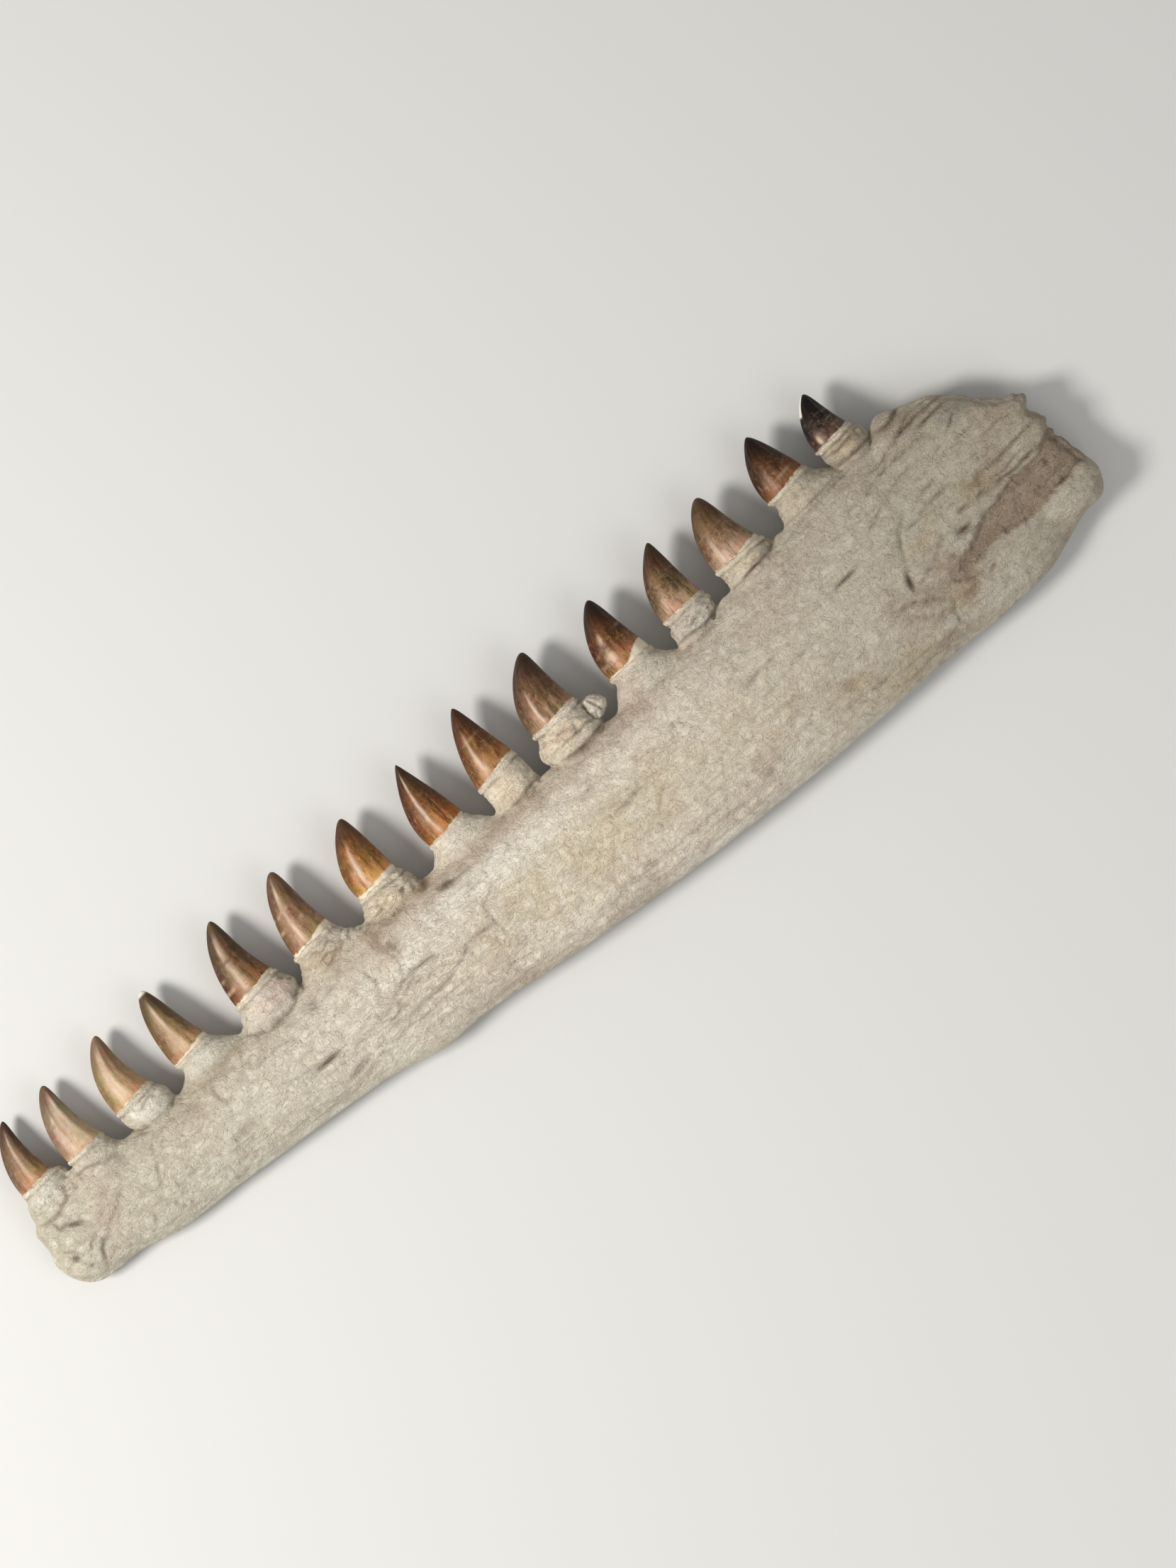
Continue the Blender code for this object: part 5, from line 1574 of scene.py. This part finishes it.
# Textures of noise: coordinates, scale, detail, roughness, distortion
TEXTURES = {
    "clouds": ("plain", 30, 5, 0.68, 0.5),
    "ochre edge": ("plain", 60, 5, 0.7, 0.6),
    "tan edge": ("plain", 48, 5, 0.7, 0.6),
    "pale edge": ("plain", 70, 5, 0.7, 0.6),
    "pink edge": ("plain", 90, 5, 0.7, 0.6),
    "greens": ("plain", 38, 4, 0.65, 0.5),
    "fibres": ("along the jaw", 34, 5, 0.65, 0.25),
    "blotches": ("plain", 190, 6, 0.72, 0.5),
    "veins": ("vein place", 26, 4, 0.55, 0.35),
    "gaps": ("plain", 30, 3, 0.6, 0.0),
    "specks": ("plain", 620, 2, 0.5, 0.0),
    "stains": ("plain", 90, 5, 0.7, 0.8),
    "crinkles": ("crinkle place", 150, 4, 0.6, 1.0),
    "grains": ("plain", 800, 3, 0.6, 0.0),
    "beds": ("bed place", 70, 6, 0.7, 0.5),
    "wander": ("plain", 110, 4, 0.65, 0.0),
    "patches": ("plain", 150, 4, 0.7, 0.6),
    "dark lines": ("up the tooth", 60, 5, 0.7, 0.4),
    "pale lines": ("up the tooth", 130, 5, 0.7, 0.3),
    "tints": ("plain", 85, 3, 0.6, 0.5),
    "flecks": ("plain", 480, 4, 0.7, 0.4),
    "gloss": ("plain", 240, 3, 0.6, 0.0),
}

# Layers of colour over the bone's cream: strength, sources that it is multiplied with, and colour,
# with MULTIPLY where the colour darkens what is below. A source is the name of a mask, a texture with
# the values where it becomes 0 and 1, or a texture with the width of the thin lines at its middle.
BONE_LAYERS = [
    (0.75, [("clouds", 0.44, 0.64)], PINK_TAN),
    (0.8, ["front"], IVORY),
    (1, ["ochre", ("ochre edge", 0.3, 0.56)], OCHRE),
    (1, ["tan", ("tan edge", 0.3, 0.56)], PINK_TAN),
    (1, ["pale", ("pale edge", 0.3, 0.56)], PALE),
    (1, ["pink", ("pink edge", 0.3, 0.56)], PINK),
    (1, ["warm"], WARM_TINT, "MULTIPLY"),
    (0.35, [("greens", 0.48, 0.7)], GREENISH),
    (0.6, ["grey"], FRONT_GREY),
    (0.5, [("fibres", 0.50, 0.76)], FIBRE),
    (0.36, [("blotches", 0.50, 0.64)], FIBRE),
    (0.34, [("blotches", 0.50, 0.38)], PALE),
    # Darker towards the rear, partly painted shade, and painted shade along the lower edge
    (0.97, ["rear"], REAR_SHADE, "MULTIPLY"),
    (1, ["dim", ("clouds", 0.30, 0.55)], DIM, "MULTIPLY"),
    (0.55, [("veins", 0.012), ("gaps", 0.5, 0.7)], BROWN),
    (0.5, [("specks", 0.62, 0.72)], BROWN),
    (1, ["brown", ("stains", 0.32, 0.58)], BROWN),
    (1, ["slate", ("stains", 0.32, 0.58)], SLATE),
    (0.85, ["ring"], RING),
    (0.75, ["broken"], BROWN),
]
ROCK_LAYERS = [
    (1, [("beds", 0.38, 0.66)], ROCK_PALE),
    (0.6, [("blotches", 0.5, 0.66)], ROCK_DARK),
    (0.45, [("grains", 0.5, 0.7)], ROCK_DARK),
]

# Crinkles of the bone's skin: width, darkness everywhere, and what the crinkled oval adds to it
CRINKLE_WIDTH = 0.09
CRINKLE_DARK = 0.15
CRINKLE_ADDED = 0.25

# Bumps: texture, strength, depth in metres
BONE_BUMPS = [
    ("fibres", 0.6, 0.0011), ("blotches", 0.8, 0.0022), ("skin", 0.5, 0.0007), ("grains", 0.4, 0.0004),
]
ENAMEL_BUMPS = [("dark lines", 0.5, 0.0007), ("flecks", 0.4, 0.0005)]

# Roughness: texture, its share, and what is added to it; then the strength of the shine
BONE_SHINE = ("blotches", 0.3, 0.5, 0.25)
ENAMEL_SHINE = ("gloss", 0.3, 0.24, 0.2)

# Enamel: its darkest tone as a share and a power of its middle tone, also the colour of its painted shade;
# how much of the painted highlight's colour is in its light tone; how far noise moves its tones up and down;
# and how ragged its lower border is
DEEP_TONE = (0.42, 1.5)
LIGHT_TONE = 0.4
TONE_WANDER = 0.30
BORDER_WANDER = 0.2
BORDER_FLECKS = 0.06


def bone_material(name):
    """Fossil bone with a fine grain along the jaw, and brown rock where the mask says so."""
    graph = Graph(name)
    colour = graph.lay(CREAM, BONE_LAYERS)
    graph.made["skin"] = graph.beside("crinkles", CRINKLE_WIDTH)
    in_crinkle = graph.calc("SUBTRACT", 1.0, graph.made["skin"])
    added = graph.calc("MULTIPLY", graph.mask("wrinkled"), CRINKLE_ADDED)
    amount = graph.calc("ADD", added, CRINKLE_DARK)
    colour = graph.mix(graph.calc("MULTIPLY", in_crinkle, amount), colour, FIBRE)
    # Brown rock where the mask says so, then the painted shade and dirt of hollows and cracks
    colour = graph.lay(colour, [(1, ["rock"], graph.lay(ROCK, ROCK_LAYERS)), (1, ["dark"], DEEP)])
    return graph.finish(colour, *BONE_SHINE, BONE_BUMPS)


def enamel_layers(finish, rim_tint):
    """Layers of colour over a crown's base colour, in the same form as those of the bone."""
    factor, power = DEEP_TONE
    deep = tuple(factor * c**power for c in finish.middle)
    light = tuple((1 - LIGHT_TONE) * c + LIGHT_TONE * s for c, s in zip(finish.base, HIGHLIGHT_COLOUR))
    low = ("climb", 0.75, 0.25)
    return [
        (1, [("climb", 0.06, 0.40)], finish.middle),
        (1, [("climb", 0.45, 0.92)], finish.tip),
        (0.5, [("patches", 0.47, 0.62), low], finish.base),
        # Painted shade on the crown's front and rear side
        (0.9, ["shade"], deep),
        (finish.lined, [("dark lines", 0.49, 0.64)], deep),
        (0.45, [("pale lines", 0.53, 0.72), low], light),
        (0.8, [("tints", 0.52, 0.64)], GREEN_TINT, "MULTIPLY"),
        (0.8, [("tints", 0.48, 0.36)], PINK_TINT, "MULTIPLY"),
        # Painted highlight streak and light spots
        (0.85, ["streak"], HIGHLIGHT_COLOUR),
        (0.35, [("flecks", 0.54, 0.70)], deep),
        (0.3, [("flecks", 0.46, 0.32), low], light),
        (0.85, ["spots"], deep),
        (1, ["cracks"], CRACK_PALE),
        # Worn tip of the fourth crown and painted highlight on the fifteenth crown's front edge
        (0.9, ["chipped"], PALE),
        (0.95, [("above border", 0.022, -0.008)], rim_tint),
    ]


def enamel_material(name, finish):
    """Brown fossil enamel, light at the base and dark at the tip, with streaks along it."""
    graph = Graph(name)
    wander = graph.calc("MULTIPLY", graph.centred("wander"), TONE_WANDER)
    graph.made["climb"] = graph.calc("ADD", graph.mask("height"), wander)
    flecks = graph.calc("MULTIPLY", graph.centred("flecks"), BORDER_FLECKS)
    ragged = graph.calc("ADD", flecks, graph.calc("MULTIPLY", wander, BORDER_WANDER))
    above = graph.calc("SUBTRACT", graph.mask("height"), graph.mask("border"))
    graph.made["above border"] = graph.calc("ADD", above, ragged)
    rim_tint = graph.lay(RING, [(1, [("flecks", 0.42, 0.62)], CREAM)])
    colour = graph.lay(finish.base, enamel_layers(finish, rim_tint))
    return graph.finish(colour, *ENAMEL_SHINE, ENAMEL_BUMPS)


def dress(piece, material, node):
    """Give a piece its finish, hang it under the root body, and hide the solid that it stands for."""
    piece.data.materials.clear()
    piece.data.materials.append(material)
    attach(piece, "root")
    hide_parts(node)


def make_jaw():
    dentary, splenial, rock = make_bones()
    bone = bone_material("dentary bone")
    dress(dentary, bone, "dentary")
    dress(splenial, bone_material("splenial bone"), "splenial")
    dress(rock, bone_material("brown rock"), "matrix")
    for number, (tooth, finish) in enumerate(zip(TEETH, FINISHES), start=1):
        crown = make_crown(f"crown_{number:02d}", tooth, finish, CROWN_SEED + SEED_STEP * number)
        dress(crown, enamel_material(f"enamel {number}", finish), "dentary")
    dress(make_nub("new_tooth", NUB_SEED), bone, "dentary")


def make_floor():
    """Wide, plain, pale floor just under the jaw's flats."""
    bpy.ops.mesh.primitive_plane_add(size=FLOOR_SIZE, location=(0, 0, -FLOOR_DROP))
    floor = bpy.context.object
    floor.name = "floor"
    graph = Graph("pale floor")
    graph.feed(graph.shader, FLOOR_FINISH)
    floor.data.materials.append(graph.material)


def add_area_light(name, place, size, size_y, power, colour):
    """Soft rectangular lamp that points at the jaw."""
    lamp = bpy.data.lights.new(name, "AREA")
    lamp.shape = "RECTANGLE"
    lamp.size = size
    lamp.size_y = size_y
    lamp.energy = power
    lamp.color = colour
    holder = bpy.data.objects.new(name, lamp)
    holder.location = place
    aim = -holder.location
    holder.rotation_euler = aim.to_track_quat("-Z", "Y").to_euler()
    bpy.context.scene.collection.objects.link(holder)


def make_lights():
    """Key light from the photo's left, a weak fill from its right, and an even room."""
    for lamp in LAMPS:
        add_area_light(*lamp)
    world = bpy.data.worlds.new("room")
    bpy.context.scene.world = world
    world.use_nodes = True
    background = world.node_tree.nodes["Background"]
    background.inputs["Color"].default_value = (*ROOM_COLOUR, 1.0)
    background.inputs["Strength"].default_value = ROOM_POWER


def make_camera():
    """Camera straight above, turned so that the jaw lies across the frame as in the photo."""
    lens = bpy.data.cameras.new("camera")
    lens.sensor_fit = "VERTICAL"
    lens.sensor_height = SENSOR
    lens.lens = SENSOR * CAMERA_UP / VIEW_TALL
    lens.clip_end = CLIP_END
    camera = bpy.data.objects.new("camera", lens)
    camera.location = (
        (VIEW_X - MIDDLE_X) * MM, (VIEW_Y - MIDDLE_Y) * MM, (VIEW_PLANE + CAMERA_UP) * MM,
    )
    camera.rotation_euler = (0, 0, -math.radians(PHOTO_TURN))
    bpy.context.scene.collection.objects.link(camera)
    bpy.context.scene.camera = camera


make_camera()
make_jaw()
make_floor()
make_lights()
bpy.context.scene.view_settings.view_transform = "Standard"
